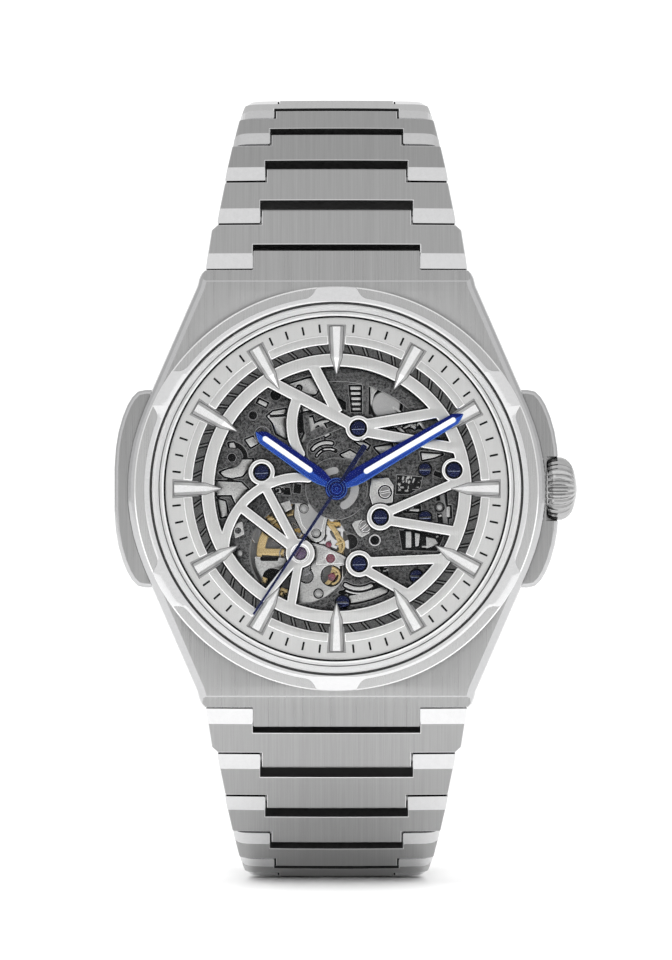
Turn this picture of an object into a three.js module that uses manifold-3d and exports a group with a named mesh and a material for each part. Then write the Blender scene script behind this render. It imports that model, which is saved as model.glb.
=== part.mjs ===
// Skeleton automatic wristwatch on an integrated bracelet, closed as worn.
// Millimetres. The dial faces -Y, 12 o'clock is +Z and the crown is on +X.
// The origin is the centre of the flat outer face of the display back.
// Head parts are drawn in dial coordinates (x, y, height above the back) inside a turned group.
import * as THREE from "three";
import { mergeVertices } from "three/addons/utils/BufferGeometryUtils.js";
import Module from "manifold-3d";

const wasm = await Module();
wasm.setup();

// ---------------------------------------------------------------- driving dimensions
const RUN_GAP = 0.12; // between pieces that turn or slide past each other
const ROUND = 36; // sides of a large circle
const SMALL_ROUND = 12; // sides of a small circle

// Heights above the display back.
const BACK_RING_TOP = 1.45;
const CASE_LOW = 1.55;
const CASE_TOP = 8.4;
const BEZEL_TOP = 10.35;
const CRYSTAL_TOP = 10.9;
const DIAL_LOW = 7.4;
const DIAL_TOP = 7.85;
const PLATE_LOW = 5.6;
const PLATE_TOP = 6.6;
const BRIDGE_LOW = 3.05;
const BRIDGE_TOP = 3.65;
const STEM_HEIGHT = 4.55;

// Case outline.
const CASE_HALF_LENGTH = 19.56; // end of the flat top
const LUG_EDGE = 20.62; // end of the sloped lug strip
const LUG_HALF_WIDTH = 13.0;
const CASE_HALF_WIDTH = 19.75;
const CASE_BORE = 16.6;
const WING_HALF_WIDTH = 21.0;
const WING_HALF_LENGTH = 9.2;
const WING_TOP = 6.9;
const BEZEL_RADIUS = 19.0;
const CRYSTAL_RADIUS = 17.4;

// Bracelet.
const PITCH = 4.5; // pin to pin
const LINKS_PER_SIDE = 12;
const FIRST_PIN = { y: -4.9, z: 21.4 };
const LINK_TOP = 1.5; // outer face above the pin line
const LINK_BOTTOM = -1.3;
const ARM_START = -1.1; // the arms reach this far ahead of the link's own pin
const BAR_START = 1.45;
const BAR_END = 3.3;
const TONGUE_REACH = 0.95; // past the next pin
const SIDE_GAP = 0.15; // between a tongue and the arms beside it
const NOTCH_SHARE = 0.64; // of the link's width
const PIN_RADIUS = 0.45;
const PIN_BORE = 0.55;
// Direction of each link, in degrees from the dial plane, and its width at the arms.
const LINK_TILT = [23, 32, 44, 59, 75, 89, 102, 115, 128, 141, 153, 165];
const LINK_WIDTH = [24.7, 22.6, 21.2, 19.9, 18.7, 17.8, 17.2, 16.8, 16.5, 16.3, 16.1, 16.0];
const FIRST_LINK_END_WIDTH = 23.6;
const CLASP_WIDTH = 17.2;

// ---------------------------------------------------------------- materials
const steel = (color, roughness) =>
  new THREE.MeshStandardMaterial({ color, roughness, metalness: 1 });
const brushedSteel = steel(0xb9b9b9, 0.35);
const polishedSteel = steel(0xdcdcdc, 0.12);
const silverDial = steel(0xd2d2d0, 0.4);
const darkPlate = steel(0x4a4b4c, 0.55);
const greyBridge = steel(0x9a9a9a, 0.4);
const brass = steel(0xc8a45a, 0.3);
const blueSteel = steel(0x1c2f9e, 0.2);
const springSteel = steel(0x5a62a0, 0.3);
const sapphire = new THREE.MeshStandardMaterial({
  color: 0xffffff,
  roughness: 0.02,
  transparent: true,
  opacity: 0.2,
});
const blackRubber = new THREE.MeshStandardMaterial({ color: 0x151515, roughness: 0.7 });

// ---------------------------------------------------------------- solid helpers
const degrees = THREE.MathUtils.degToRad;
const polar = (radius, angle, x = 0, y = 0) => [
  x + radius * Math.cos(angle),
  y + radius * Math.sin(angle),
];

function toSolid(geometry) {
  const bare = geometry.index ? geometry.toNonIndexed() : geometry.clone();
  bare.deleteAttribute("normal");
  bare.deleteAttribute("uv");
  const merged = mergeVertices(bare, 1e-4);
  return new wasm.Manifold(
    new wasm.Mesh({
      numProp: 3,
      vertProperties: merged.attributes.position.array,
      triVerts: new Uint32Array(merged.index.array),
    }),
  );
}

function toMesh(name, solid, material) {
  const made = solid.getMesh();
  const geometry = new THREE.BufferGeometry();
  geometry.setAttribute("position", new THREE.BufferAttribute(made.vertProperties, 3));
  geometry.setIndex(new THREE.BufferAttribute(made.triVerts, 1));
  geometry.computeVertexNormals();
  const mesh = new THREE.Mesh(geometry, material);
  mesh.name = name;
  return mesh;
}

const circlePoints = (radius, sides = ROUND, x = 0, y = 0, turn = 0) =>
  Array.from({ length: sides }, (_, i) => polar(radius, turn + (i * 2 * Math.PI) / sides, x, y));

function shapeOf(points, holes = []) {
  const vectors = (list) => list.map(([x, y]) => new THREE.Vector2(x, y));
  const shape = new THREE.Shape(vectors(points));
  shape.holes = holes.map((hole) => new THREE.Path(vectors(hole)));
  return shape;
}

// A flat plate between two heights.
function plate(points, low, high, holes = []) {
  const geometry = new THREE.ExtrudeGeometry(shapeOf(points, holes), {
    depth: high - low,
    bevelEnabled: false,
  });
  return toSolid(geometry.translate(0, 0, low));
}

const disc = (radius, low, high, x = 0, y = 0, sides = SMALL_ROUND) =>
  plate(circlePoints(radius, sides, x, y), low, high);

const ring = (outer, inner, low, high, x = 0, y = 0, sides = ROUND) =>
  plate(circlePoints(outer, sides, x, y), low, high, [circlePoints(inner, sides, x, y)]);

// A straight bar of a given width between two points.
function bar([x0, y0], [x1, y1], width, low, high) {
  const length = Math.hypot(x1 - x0, y1 - y0);
  const nx = (-(y1 - y0) / length) * (width / 2);
  const ny = ((x1 - x0) / length) * (width / 2);
  const corners = [
    [x0 - nx, y0 - ny],
    [x1 - nx, y1 - ny],
    [x1 + nx, y1 + ny],
    [x0 + nx, y0 + ny],
  ];
  return plate(corners, low, high);
}

// An arc-shaped band, from one angle to another.
function arcBand(x, y, inner, outer, from, to, low, high, steps = 10) {
  const at = (radius, i) => polar(radius, from + ((to - from) * i) / steps, x, y);
  const outerEdge = Array.from({ length: steps + 1 }, (_, i) => at(outer, i));
  const innerEdge = Array.from({ length: steps + 1 }, (_, i) => at(inner, steps - i));
  return plate([...outerEdge, ...innerEdge], low, high);
}

// A solid of revolution about the height axis: the profile is a closed loop of [radius, height].
function turned(profile, sides = ROUND) {
  const points = [...profile, profile[0]].map(([r, h]) => new THREE.Vector2(r, h));
  return toSolid(new THREE.LatheGeometry(points, sides).rotateX(Math.PI / 2));
}

const join = (solids) => solids.reduce((whole, next) => whole.add(next));
const cut = (solid, tools) => tools.reduce((whole, tool) => whole.subtract(tool), solid);

// ---------------------------------------------------------------- gears
const TOOTH_TIP = 0.4; // in modules outside the pitch circle
const TOOTH_ROOT = 0.85; // in modules inside it

const pitchRadius = (teeth, module) => (teeth * module) / 2;

function gearPoints(teeth, module, phase, x = 0, y = 0) {
  const radius = pitchRadius(teeth, module);
  const points = [];
  for (let i = 0; i < teeth; i++) {
    const tip = phase + (i * 2 * Math.PI) / teeth;
    points.push(polar(radius + TOOTH_TIP * module, tip, x, y));
    points.push(polar(radius - TOOTH_ROOT * module, tip + Math.PI / teeth, x, y));
  }
  return points;
}

// The phase that puts a gear's gaps over the teeth of the gear it meshes with, in direction angle.
function meshPhase(phase, teeth, otherTeeth, module, angle) {
  const arc = (phase - angle) * pitchRadius(teeth, module) + (Math.PI * module) / 2;
  return angle + Math.PI - arc / pitchRadius(otherTeeth, module);
}

// A toothed wheel with a rim, three spokes and a hub.
function spokedWheel({ teeth, module, phase, x, y, low, high, hub, bore = 0 }) {
  const rim = pitchRadius(teeth, module) - 3.2 * module;
  const rimRing = plate(gearPoints(teeth, module, phase, x, y), low, high, [
    circlePoints(rim, 24, x, y),
  ]);
  const arms = [0, 1, 2].map((i) => {
    const angle = phase + (i * 2 * Math.PI) / 3;
    return bar(polar(hub * 0.6, angle, x, y), polar(rim + 0.05, angle, x, y), 0.34, low, high);
  });
  const whole = join([rimRing, disc(hub, low, high, x, y), ...arms]);
  return bore ? cut(whole, [disc(bore, low - 1, high + 1, x, y)]) : whole;
}

// ---------------------------------------------------------------- movement layout (dial coordinates)
const BALANCE = { x: -3.43, y: -6.1, radius: 4.15 };
const TRAIN_MODULE = { center: 0.11, third: (0.11 * 72) / 68, fourth: 0.1, barrel: 0.15 };
const CENTER_TEETH = 64;
const THIRD_PINION = 8;
const THIRD_TEETH = 60;
const FOURTH_PINION = 8;
const FOURTH_TEETH = 72;
const ESCAPE_PINION = 6;
const ESCAPE_TEETH = 15;
const BARREL_TEETH = 72;
const CENTER_PINION = 12;
const CANNON_PINION = 12;
const MINUTE_WHEEL_TEETH = 36;
const MINUTE_PINION = 10;
const HOUR_WHEEL_TEETH = 40;
const MOTION_MODULE = 0.12; // cannon pinion and minute wheel
const HOUR_MODULE = (MOTION_MODULE * (CANNON_PINION + MINUTE_WHEEL_TEETH)) / (MINUTE_PINION + HOUR_WHEEL_TEETH);

const THIRD_ANGLE = degrees(190);
const ESCAPE_ANGLE = degrees(-82.6);
const BARREL_ANGLE = degrees(56);
const MINUTE_WHEEL_ANGLE = degrees(-30);

const centreDistance = (a, b, module) => pitchRadius(a + b, module);
const THIRD = polar(centreDistance(CENTER_TEETH, THIRD_PINION, TRAIN_MODULE.center), THIRD_ANGLE);
const ESCAPE = polar(centreDistance(FOURTH_TEETH, ESCAPE_PINION, TRAIN_MODULE.fourth), ESCAPE_ANGLE);
const BARREL = polar(centreDistance(BARREL_TEETH, CENTER_PINION, TRAIN_MODULE.barrel), BARREL_ANGLE);
const MINUTE_WHEEL = polar(
  centreDistance(CANNON_PINION, MINUTE_WHEEL_TEETH, MOTION_MODULE),
  MINUTE_WHEEL_ANGLE,
);
const ESCAPE_TIP = 1.95;
const PALLET_FROM_ESCAPE = 2.25;
const LEVER_ANGLE = Math.atan2(BALANCE.y - ESCAPE[1], BALANCE.x - ESCAPE[0]);
const PALLET = polar(PALLET_FROM_ESCAPE, LEVER_ANGLE, ...ESCAPE);

// ---------------------------------------------------------------- case
function caseOutline() {
  const quarter = [
    [CASE_HALF_WIDTH, 0],
    [19.6, 2.6],
    [18.95, 5.4],
    [17.45, 9.2],
    [LUG_HALF_WIDTH + 0.1, CASE_HALF_LENGTH],
    [LUG_HALF_WIDTH - 0.3, LUG_EDGE],
  ];
  const mirrored = (sx, sy, list) => list.map(([x, y]) => [sx * x, sy * y]);
  return [
    ...quarter,
    ...mirrored(-1, 1, [...quarter].reverse()),
    ...mirrored(-1, -1, quarter.slice(1)),
    ...mirrored(1, -1, quarter.slice(1).reverse()),
  ];
}

function wingOutline(side) {
  const half = [
    [16.9, WING_HALF_LENGTH],
    [19.3, 8.7],
    [20.1, 6.9],
    [20.75, 3.6],
  ];
  const lower = half.map(([x, y]) => [x, -y]).reverse();
  const loop = [...half, [WING_HALF_WIDTH, 0], ...lower].map(([x, y]) => [side * x, y]);
  return side > 0 ? loop.reverse() : loop;
}

// An extrusion across the watch: the profile is [y, height] in dial coordinates.
function acrossWatch(profile, halfWidth) {
  const geometry = new THREE.ExtrudeGeometry(shapeOf(profile), {
    depth: 2 * halfWidth,
    bevelEnabled: false,
  });
  const axes = new THREE.Matrix4().makeBasis(
    new THREE.Vector3(0, 1, 0),
    new THREE.Vector3(0, 0, 1),
    new THREE.Vector3(1, 0, 0),
  );
  return toSolid(geometry.translate(0, 0, -halfWidth).applyMatrix4(axes));
}

const LUG_SLOPE_END = { y: 22.45, height: 6.8 };
const LUG_LIP = 6.55; // the arms of the first link pass under this height

// The tongue on each end of the case that the first link's arms straddle.
function lugTongue(side) {
  const half = (NOTCH_SHARE * LINK_WIDTH[0]) / 2 - SIDE_GAP;
  const profile = [
    [19, 3.6],
    [21.9, 3.6],
    [LUG_SLOPE_END.y, 4.1],
    [LUG_SLOPE_END.y, LUG_SLOPE_END.height],
    [CASE_HALF_LENGTH, CASE_TOP],
    [19, CASE_TOP],
  ].map(([y, h]) => [side * y, h]);
  const solid = acrossWatch(side > 0 ? profile : profile.reverse(), half);
  const bore = new THREE.CylinderGeometry(PIN_BORE, PIN_BORE, 40, SMALL_ROUND);
  bore.rotateZ(Math.PI / 2).translate(0, side * FIRST_PIN.z, -FIRST_PIN.y);
  return solid.subtract(toSolid(bore));
}

// What is cut from the block to leave the sloped strip and the undercut for the first link.
function lugCuts(side) {
  const slope = [
    [CASE_HALF_LENGTH, CASE_TOP],
    [LUG_SLOPE_END.y, LUG_SLOPE_END.height],
    [25, 5],
    [25, 12],
    [CASE_HALF_LENGTH, 12],
  ];
  const undercut = [
    [20.0, 0],
    [25, 0],
    [25, LUG_LIP],
    [20.0, LUG_LIP],
  ];
  return [slope, undercut].map((profile) => {
    const points = profile.map(([y, h]) => [side * y, h]);
    return acrossWatch(side > 0 ? points : points.reverse(), 30);
  });
}

function caseMiddle() {
  const crownPocket = plate(
    [
      [19.55, -3.25],
      [24, -3.25],
      [24, 3.25],
      [19.55, 3.25],
    ],
    0,
    12,
  );
  const stemHole = new THREE.CylinderGeometry(1.25, 1.25, 12, SMALL_ROUND);
  stemHole.rotateZ(Math.PI / 2).translate(18, 0, STEM_HEIGHT);
  const block = cut(plate(caseOutline(), CASE_LOW, CASE_TOP), [...lugCuts(1), ...lugCuts(-1)]);
  const wings = [1, -1].map((side) => plate(wingOutline(side), 2.2, WING_TOP));
  const bezelSeat = disc(BEZEL_RADIUS + 0.1, 8.0, 12, 0, 0, ROUND);
  const whole = join([block, ...wings, lugTongue(1), lugTongue(-1)]);
  return cut(whole, [
    disc(CASE_BORE, 0, 12, 0, 0, ROUND),
    bezelSeat,
    crownPocket,
    toSolid(stemHole),
  ]);
}

// Bezel ring: six raised tabs at full height with the band between them cut lower.
function bezel() {
  const profile = [
    [CRYSTAL_RADIUS + 0.25, 8.1],
    [BEZEL_RADIUS, 8.1],
    [BEZEL_RADIUS, BEZEL_TOP - 0.55],
    [18.1, BEZEL_TOP],
    [CRYSTAL_RADIUS + 0.25, BEZEL_TOP],
  ];
  const bands = [0, 1, 2, 3, 4, 5].map((i) => {
    const middle = degrees(60 * i);
    const half = degrees(23);
    return arcBand(0, 0, 18.1, 20, middle - half, middle + half, BEZEL_TOP - 0.85, 12, 5);
  });
  return cut(turned(profile, 36), bands);
}

const crystal = () =>
  turned(
    [
      [0, 9.4],
      [CRYSTAL_RADIUS, 9.4],
      [CRYSTAL_RADIUS, CRYSTAL_TOP - 0.35],
      [CRYSTAL_RADIUS - 0.35, CRYSTAL_TOP],
      [0, CRYSTAL_TOP],
    ],
    48,
  );

const crystalGasket = () => ring(CRYSTAL_RADIUS + 0.16, CRYSTAL_RADIUS - 0.4, 8.95, 9.32);

const innerFlange = () =>
  turned([
    [16.4, 8.1],
    [17.1, 8.1],
    [17.1, 8.85],
    [16.9, 8.85],
  ]);

function caseBack() {
  return turned([
    [14.4, 0.08],
    [17.6, 0.08],
    [18.2, 0.6],
    [18.2, BACK_RING_TOP],
    [16.4, BACK_RING_TOP],
    [16.4, 2.4],
    [15.4, 2.4],
    [15.4, 1.2],
    [14.4, 1.2],
  ]);
}

const displayCrystal = () => disc(14.25, 0, 1.1, 0, 0, ROUND);
const backGasket = () => ring(15.2, 13.6, 1.3, 1.6);

function crown() {
  const flutes = 28;
  const outline = [];
  for (let i = 0; i < flutes; i++) {
    const angle = (i * 2 * Math.PI) / flutes;
    outline.push(polar(2.98, angle), polar(2.72, angle + Math.PI / flutes));
  }
  const body = new THREE.ExtrudeGeometry(shapeOf(outline), { depth: 2.3, bevelEnabled: false });
  const cap = new THREE.CylinderGeometry(2.2, 2.7, 0.55, 20);
  cap.rotateX(Math.PI / 2).translate(0, 0, 2.55);
  const whole = join([toSolid(body), toSolid(cap)]);
  return { whole, from: 19.95 };
}

// Pieces on the stem axis are drawn along +Z, then laid along +X.
function onStemAxis(name, solid, start, material) {
  const mesh = toMesh(name, solid, material);
  mesh.rotation.y = Math.PI / 2;
  mesh.position.set(start, 0, STEM_HEIGHT);
  return mesh;
}

// ---------------------------------------------------------------- dial and hands
const SCREW_BOSSES = {
  top: [2.05, 5.7],
  left: [-7.0, 1.6],
  right: [11.0, 1.75],
  centre: [4.15, -2.65],
  bottom: [2.15, -7.05],
  balance: [BALANCE.x, BALANCE.y],
};
const DIAL_RADIUS = 16.3;
const INNER_RING = { outer: 12.75, inner: 11.5 };
const OUTER_RING_INNER = 13.65;
// Spokes of the skeleton dial, each from one point to another.
const SPOKES = [
  [SCREW_BOSSES.top, [-6.1, 10.1]],
  [[0.35, 7.4], [-2.2, 11.8]],
  [SCREW_BOSSES.top, [10.0, 7.1]],
  [SCREW_BOSSES.top, [11.3, 4.0]],
  [SCREW_BOSSES.centre, [11.6, 0.55]],
  [SCREW_BOSSES.centre, [11.4, -3.6]],
  [SCREW_BOSSES.bottom, [9.9, -6.7]],
  [SCREW_BOSSES.bottom, [6.9, -9.8]],
  [SCREW_BOSSES.balance, [-6.6, 0.4]],
  [SCREW_BOSSES.balance, [-8.8, -1.5]],
  [SCREW_BOSSES.balance, [-6.9, -10.0]],
  [SCREW_BOSSES.balance, [-4.4, -11.3]],
];

function dialIndices() {
  return Array.from({ length: 12 }, (_, hour) => {
    const angle = degrees(30 * hour);
    const at = (along, across) => {
      const [x, y] = polar(along, angle);
      return [x - across * Math.sin(angle), y + across * Math.cos(angle)];
    };
    const outline = [at(15.25, -0.66), at(15.25, 0.66), at(11.6, 0.5), at(10.8, 0), at(11.6, -0.5)];
    return plate(outline.reverse(), DIAL_LOW, DIAL_TOP + 0.45);
  });
}

function dial() {
  const low = DIAL_LOW;
  const high = DIAL_TOP;
  const rings = [
    ring(DIAL_RADIUS, OUTER_RING_INNER, low, high, 0, 0, 48),
    ring(INNER_RING.outer, INNER_RING.inner, low, high, 0, 0, 48),
  ];
  const bosses = Object.values(SCREW_BOSSES).map(([x, y]) => disc(1.2, low, high, x, y));
  const spokes = SPOKES.map(([from, to]) => bar(from, to, 0.85, low, high));
  const arcs = [
    arcBand(BALANCE.x, BALANCE.y, 6.75, 7.6, degrees(84), degrees(196), low, high),
    arcBand(3.2, 5.0, 6.35, 7.25, degrees(146), degrees(200), low, high, 6),
  ];
  const leftBossLink = bar(SCREW_BOSSES.left, [-6.6, 0.3], 0.9, low, high);
  const whole = join([...rings, ...bosses, ...spokes, ...arcs, leftBossLink, ...dialIndices()]);
  return cut(whole, [disc(1.3, 0, 12, 0, 0, 20)]);
}

const HOUR_HAND = { angle: degrees(90 - 305), low: 8.12, high: 8.3 };
const MINUTE_HAND = { angle: degrees(90 - 59.5), low: 8.55, high: 8.73 };
const SECONDS_HAND = { angle: degrees(90 - 213.5), low: 8.95, high: 9.07 };

// A baton hand: narrow neck, wide blade, pointed tip.
function batonHand({ angle, low, high }, length, hub, bore) {
  const half = [
    [0.6, 0.38],
    [2.0, 0.38],
    [2.6, 0.58],
    [length - 0.75, 0.46],
  ];
  const outline = [...half.map(([a, w]) => [a, -w]), [length, 0], ...[...half].reverse()];
  const turnedOutline = outline.map(([a, w]) => [
    a * Math.cos(angle) - w * Math.sin(angle),
    a * Math.sin(angle) + w * Math.cos(angle),
  ]);
  const whole = plate(turnedOutline, low, high).add(disc(hub, low, high, 0, 0, 20));
  return cut(whole, [disc(bore, 0, 12)]);
}

function secondsHand() {
  const { angle, low, high } = SECONDS_HAND;
  const needle = bar(polar(5.0, angle + Math.PI), polar(14.0, angle), 0.26, low, high);
  return join([needle, disc(0.62, low, high, 0, 0, 16), disc(0.3, low, 9.2)]);
}

// ---------------------------------------------------------------- movement
function movementHolder() {
  const body = ring(16.4, 13.2, 3.0, 7.28);
  const stemSlot = plate([[12, -1.3], [18, -1.3], [18, 1.3], [12, 1.3]], 2, STEM_HEIGHT + 1.3);
  return cut(body, [stemSlot]);
}

// The main plate is opened over the balance, the barrel and the motion work.
function mainPlate() {
  const arcWindow = (inner, outer, from, to) =>
    arcBand(0, 0, inner, outer, degrees(from), degrees(to), 0, 12, 8);
  const windows = [
    disc(2.1, 0, 12, -0.1, 8.6, 16),
    disc(1.7, 0, 12, 4.6, 8.3, 16),
    disc(1.9, 0, 12, 8.1, 4.6, 16),
    disc(1.25, 0, 12, -6.2, 6.6, 12),
    disc(1.4, 0, 12, -9.7, -1.0, 12),
    disc(1.6, 0, 12, 8.2, -0.6, 12),
    disc(1.7, 0, 12, 5.2, -5.0, 12),
    disc(4.4, 0, 12, BALANCE.x, BALANCE.y, 28),
    disc(2.3, 0, 12, ESCAPE[0], ESCAPE[1], 16),
    arcWindow(3.2, 5.2, 150, 205),
    arcWindow(3.1, 5.0, 75, 120),
    arcWindow(9.2, 11.2, -75, -50),
  ];
  return cut(disc(12.95, PLATE_LOW, PLATE_TOP, 0, 0, 36), [...windows, disc(0.62, 0, 12)]);
}

function trainBridge() {
  const balanceWindow = plate(
    [[-13.5, -3.2], [-1.2, -3.2], [-1.2, -13.5], [-13.5, -13.5]],
    0,
    12,
  );
  const body = cut(disc(12.6, BRIDGE_LOW, BRIDGE_TOP, 0, 0, ROUND), [balanceWindow]);
  return body.add(disc(0.62, 1.75, BRIDGE_LOW + 0.1));
}

function balanceCock() {
  const arm = bar([BALANCE.x, BALANCE.y], [-9.9, -6.3], 2.2, BRIDGE_LOW, BRIDGE_TOP);
  const foot = arcBand(0, 0, 10.9, 12.4, degrees(199), degrees(221), BRIDGE_LOW, PLATE_LOW - 0.08, 6);
  const cap = disc(1.5, BRIDGE_LOW, BRIDGE_TOP, BALANCE.x, BALANCE.y, 16);
  return join([arm, foot, cap]);
}

const ARBOR_TOP = PLATE_LOW - 0.1;
const ARBOR_LOW = BRIDGE_TOP + 0.1;
const arbor = (radius, [x, y], low = ARBOR_LOW, high = ARBOR_TOP) => disc(radius, low, high, x, y, 10);
const pinion = (teeth, module, phase, [x, y], low, high) =>
  plate(gearPoints(teeth, module, phase, x, y), low, high);

function barrel() {
  const phase = meshPhase(0, CENTER_PINION, BARREL_TEETH, TRAIN_MODULE.barrel, BARREL_ANGLE);
  const teeth = pinion(BARREL_TEETH, TRAIN_MODULE.barrel, phase, BARREL, 4.88, 5.08);
  const drum = disc(4.95, 4.2, 4.95, BARREL[0], BARREL[1], 36);
  return join([teeth, drum, arbor(0.9, BARREL)]);
}

// Center wheel, center pinion and cannon pinion share one pipe around the seconds arbor.
function centerWheel() {
  const wheel = spokedWheel({
    teeth: CENTER_TEETH, module: TRAIN_MODULE.center, phase: 0, x: 0, y: 0,
    low: 5.25, high: 5.42, hub: 0.9,
  });
  const leaves = pinion(CENTER_PINION, TRAIN_MODULE.barrel, 0, [0, 0], 4.84, 5.3);
  const cannon = pinion(CANNON_PINION, MOTION_MODULE, 0, [0, 0], 6.7, 6.9);
  const pipe = disc(0.48, 5.3, MINUTE_HAND.high + 0.1);
  return cut(join([wheel, leaves, cannon, pipe]), [disc(0.28, 0, 12, 0, 0, 10)]);
}

function thirdWheel() {
  const [x, y] = THIRD;
  const leafPhase = meshPhase(0, CENTER_TEETH, THIRD_PINION, TRAIN_MODULE.center, THIRD_ANGLE);
  const wheel = spokedWheel({
    teeth: THIRD_TEETH, module: TRAIN_MODULE.third, phase: 0, x, y, low: 4.42, high: 4.57, hub: 0.8,
  });
  const leaves = pinion(THIRD_PINION, TRAIN_MODULE.center, leafPhase, THIRD, 4.5, ARBOR_TOP);
  return join([wheel, leaves, arbor(0.2, THIRD)]);
}

// The fourth wheel turns once a minute and carries the seconds hand.
function fourthWheel() {
  const back = THIRD_ANGLE + Math.PI;
  const leafPhase = meshPhase(0, THIRD_TEETH, FOURTH_PINION, TRAIN_MODULE.third, back);
  const wheel = spokedWheel({
    teeth: FOURTH_TEETH, module: TRAIN_MODULE.fourth, phase: 0, x: 0, y: 0,
    low: 3.86, high: 4.02, hub: 0.8,
  });
  const leaves = pinion(FOURTH_PINION, TRAIN_MODULE.third, leafPhase, [0, 0], 3.95, 4.7);
  return join([wheel, leaves, disc(0.16, 3.75, SECONDS_HAND.low - 0.05, 0, 0, 8)]);
}

function escapeWheel() {
  const [x, y] = ESCAPE;
  const leafPhase = meshPhase(0, FOURTH_TEETH, ESCAPE_PINION, TRAIN_MODULE.fourth, ESCAPE_ANGLE);
  const outline = [];
  for (let i = 0; i < ESCAPE_TEETH; i++) {
    const angle = (i * 2 * Math.PI) / ESCAPE_TEETH;
    outline.push(polar(ESCAPE_TIP, angle, x, y));
    outline.push(polar(ESCAPE_TIP - 0.05, angle + 0.05, x, y));
    outline.push(polar(1.45, angle + 0.14, x, y));
  }
  const rim = plate(outline, 4.18, 4.32, [circlePoints(1.15, 20, x, y)]);
  const arms = [0, 1, 2, 3].map((i) =>
    bar([x, y], polar(1.2, (i * Math.PI) / 2, x, y), 0.22, 4.18, 4.32),
  );
  const leaves = pinion(ESCAPE_PINION, TRAIN_MODULE.fourth, leafPhase, ESCAPE, 3.82, 4.25);
  return join([rim, ...arms, leaves, arbor(0.15, ESCAPE)]);
}

// Swiss lever: two pallet arms over the escape wheel and a fork towards the balance.
function palletFork() {
  const low = 4.6;
  const high = 4.76;
  const tip = (angle) => polar(1.62, LEVER_ANGLE + Math.PI + degrees(angle), ...PALLET);
  const arms = [-52, 52].map((angle) => bar(PALLET, tip(angle), 0.26, low, high));
  const lever = bar(PALLET, polar(1.45, LEVER_ANGLE, ...PALLET), 0.24, low, high);
  return join([disc(0.3, low, high, ...PALLET), ...arms, lever, arbor(0.14, PALLET, ARBOR_LOW, 4.8)]);
}

function balanceWheel() {
  const { x, y, radius } = BALANCE;
  const rim = ring(radius, radius - 0.5, 4.88, 5.12, x, y, 36);
  const arms = [0, 1, 2].map((i) => {
    const angle = degrees(20 + 120 * i);
    return bar([x, y], polar(radius - 0.4, angle, x, y), 0.5, 4.9, 5.1);
  });
  return join([rim, ...arms, disc(0.5, 4.82, 5.15, x, y), arbor(0.14, [x, y])]);
}

// Flat spiral balance spring on its collet.
function hairspring() {
  const { x, y } = BALANCE;
  const turns = 4;
  const steps = 40;
  const edge = (offset) =>
    Array.from({ length: steps + 1 }, (_, i) => {
      const angle = (i / steps) * turns * 2 * Math.PI;
      return polar(0.5 + (i / steps) * 1.7 + offset, angle, x, y);
    });
  const strip = plate([...edge(0.04), ...edge(-0.04).reverse()], 5.24, 5.38);
  return strip.add(ring(0.55, 0.22, 5.22, 5.4, x, y, SMALL_ROUND));
}

function minuteWheel() {
  const [x, y] = MINUTE_WHEEL;
  const phase = meshPhase(0, CANNON_PINION, MINUTE_WHEEL_TEETH, MOTION_MODULE, MINUTE_WHEEL_ANGLE);
  const leafPhase = meshPhase(0, HOUR_WHEEL_TEETH, MINUTE_PINION, HOUR_MODULE, MINUTE_WHEEL_ANGLE);
  const wheel = pinion(MINUTE_WHEEL_TEETH, MOTION_MODULE, phase, MINUTE_WHEEL, 6.72, 6.88);
  const leaves = pinion(MINUTE_PINION, HOUR_MODULE, leafPhase, MINUTE_WHEEL, 6.8, 7.2);
  return cut(join([wheel, leaves]), [disc(0.2, 0, 12, x, y, 8)]);
}

function hourWheel() {
  const wheel = pinion(HOUR_WHEEL_TEETH, HOUR_MODULE, 0, [0, 0], 7.0, 7.16);
  const pipe = disc(0.8, 7.0, HOUR_HAND.high + 0.05, 0, 0, 16);
  return cut(wheel.add(pipe), [disc(0.6, 0, 12, 0, 0, 12)]);
}

// Half-round winding weight, hanging towards 6 o'clock.
function rotor() {
  const rim = arcBand(0, 0, 9.6, 12.2, degrees(186), degrees(354), 1.75, 2.85, 18);
  const web = arcBand(0, 0, 1.2, 9.8, degrees(196), degrees(344), 2.35, 2.65, 14);
  const hub = ring(1.9, 0.8, 1.9, 2.75, 0, 0, 20);
  return join([rim, web, hub]);
}

// ---------------------------------------------------------------- bracelet
// Link coordinates: u along the bracelet from the link's own pin, n outwards, w across.
function linkProfileSolid(profile, halfWidthAt) {
  const geometry = new THREE.ExtrudeGeometry(shapeOf(profile), { depth: 2, bevelEnabled: false });
  geometry.translate(0, 0, -1);
  const position = geometry.attributes.position;
  for (let i = 0; i < position.count; i++) {
    position.setZ(i, position.getZ(i) * halfWidthAt(position.getX(i)));
  }
  return toSolid(geometry);
}

const constantWidth = (half) => () => half;

function crossPin(u, n, radius, halfLength) {
  const geometry = new THREE.CylinderGeometry(radius, radius, 2 * halfLength, 10);
  return toSolid(geometry.rotateX(Math.PI / 2).translate(u, n, 0));
}

const LINK_BODY = [
  [ARM_START, 1.05],
  [ARM_START, -0.35],
  [-0.2, LINK_BOTTOM],
  [2.5, LINK_BOTTOM],
  [BAR_END, 0.1],
  [BAR_END, 1.3],
  [3.1, LINK_TOP],
  [0.35, LINK_TOP],
];
const TONGUE_PROFILE = [
  [2.6, LINK_TOP],
  [2.6, LINK_BOTTOM],
  [PITCH + 0.4, LINK_BOTTOM],
  [PITCH + TONGUE_REACH, -0.5],
  [PITCH + TONGUE_REACH, 1.3],
  [PITCH + TONGUE_REACH - 0.2, LINK_TOP],
];
const NOTCH_PROFILE = [
  [-2, 3],
  [-2, -3],
  [BAR_START, -3],
  [BAR_START, 3],
];

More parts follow.
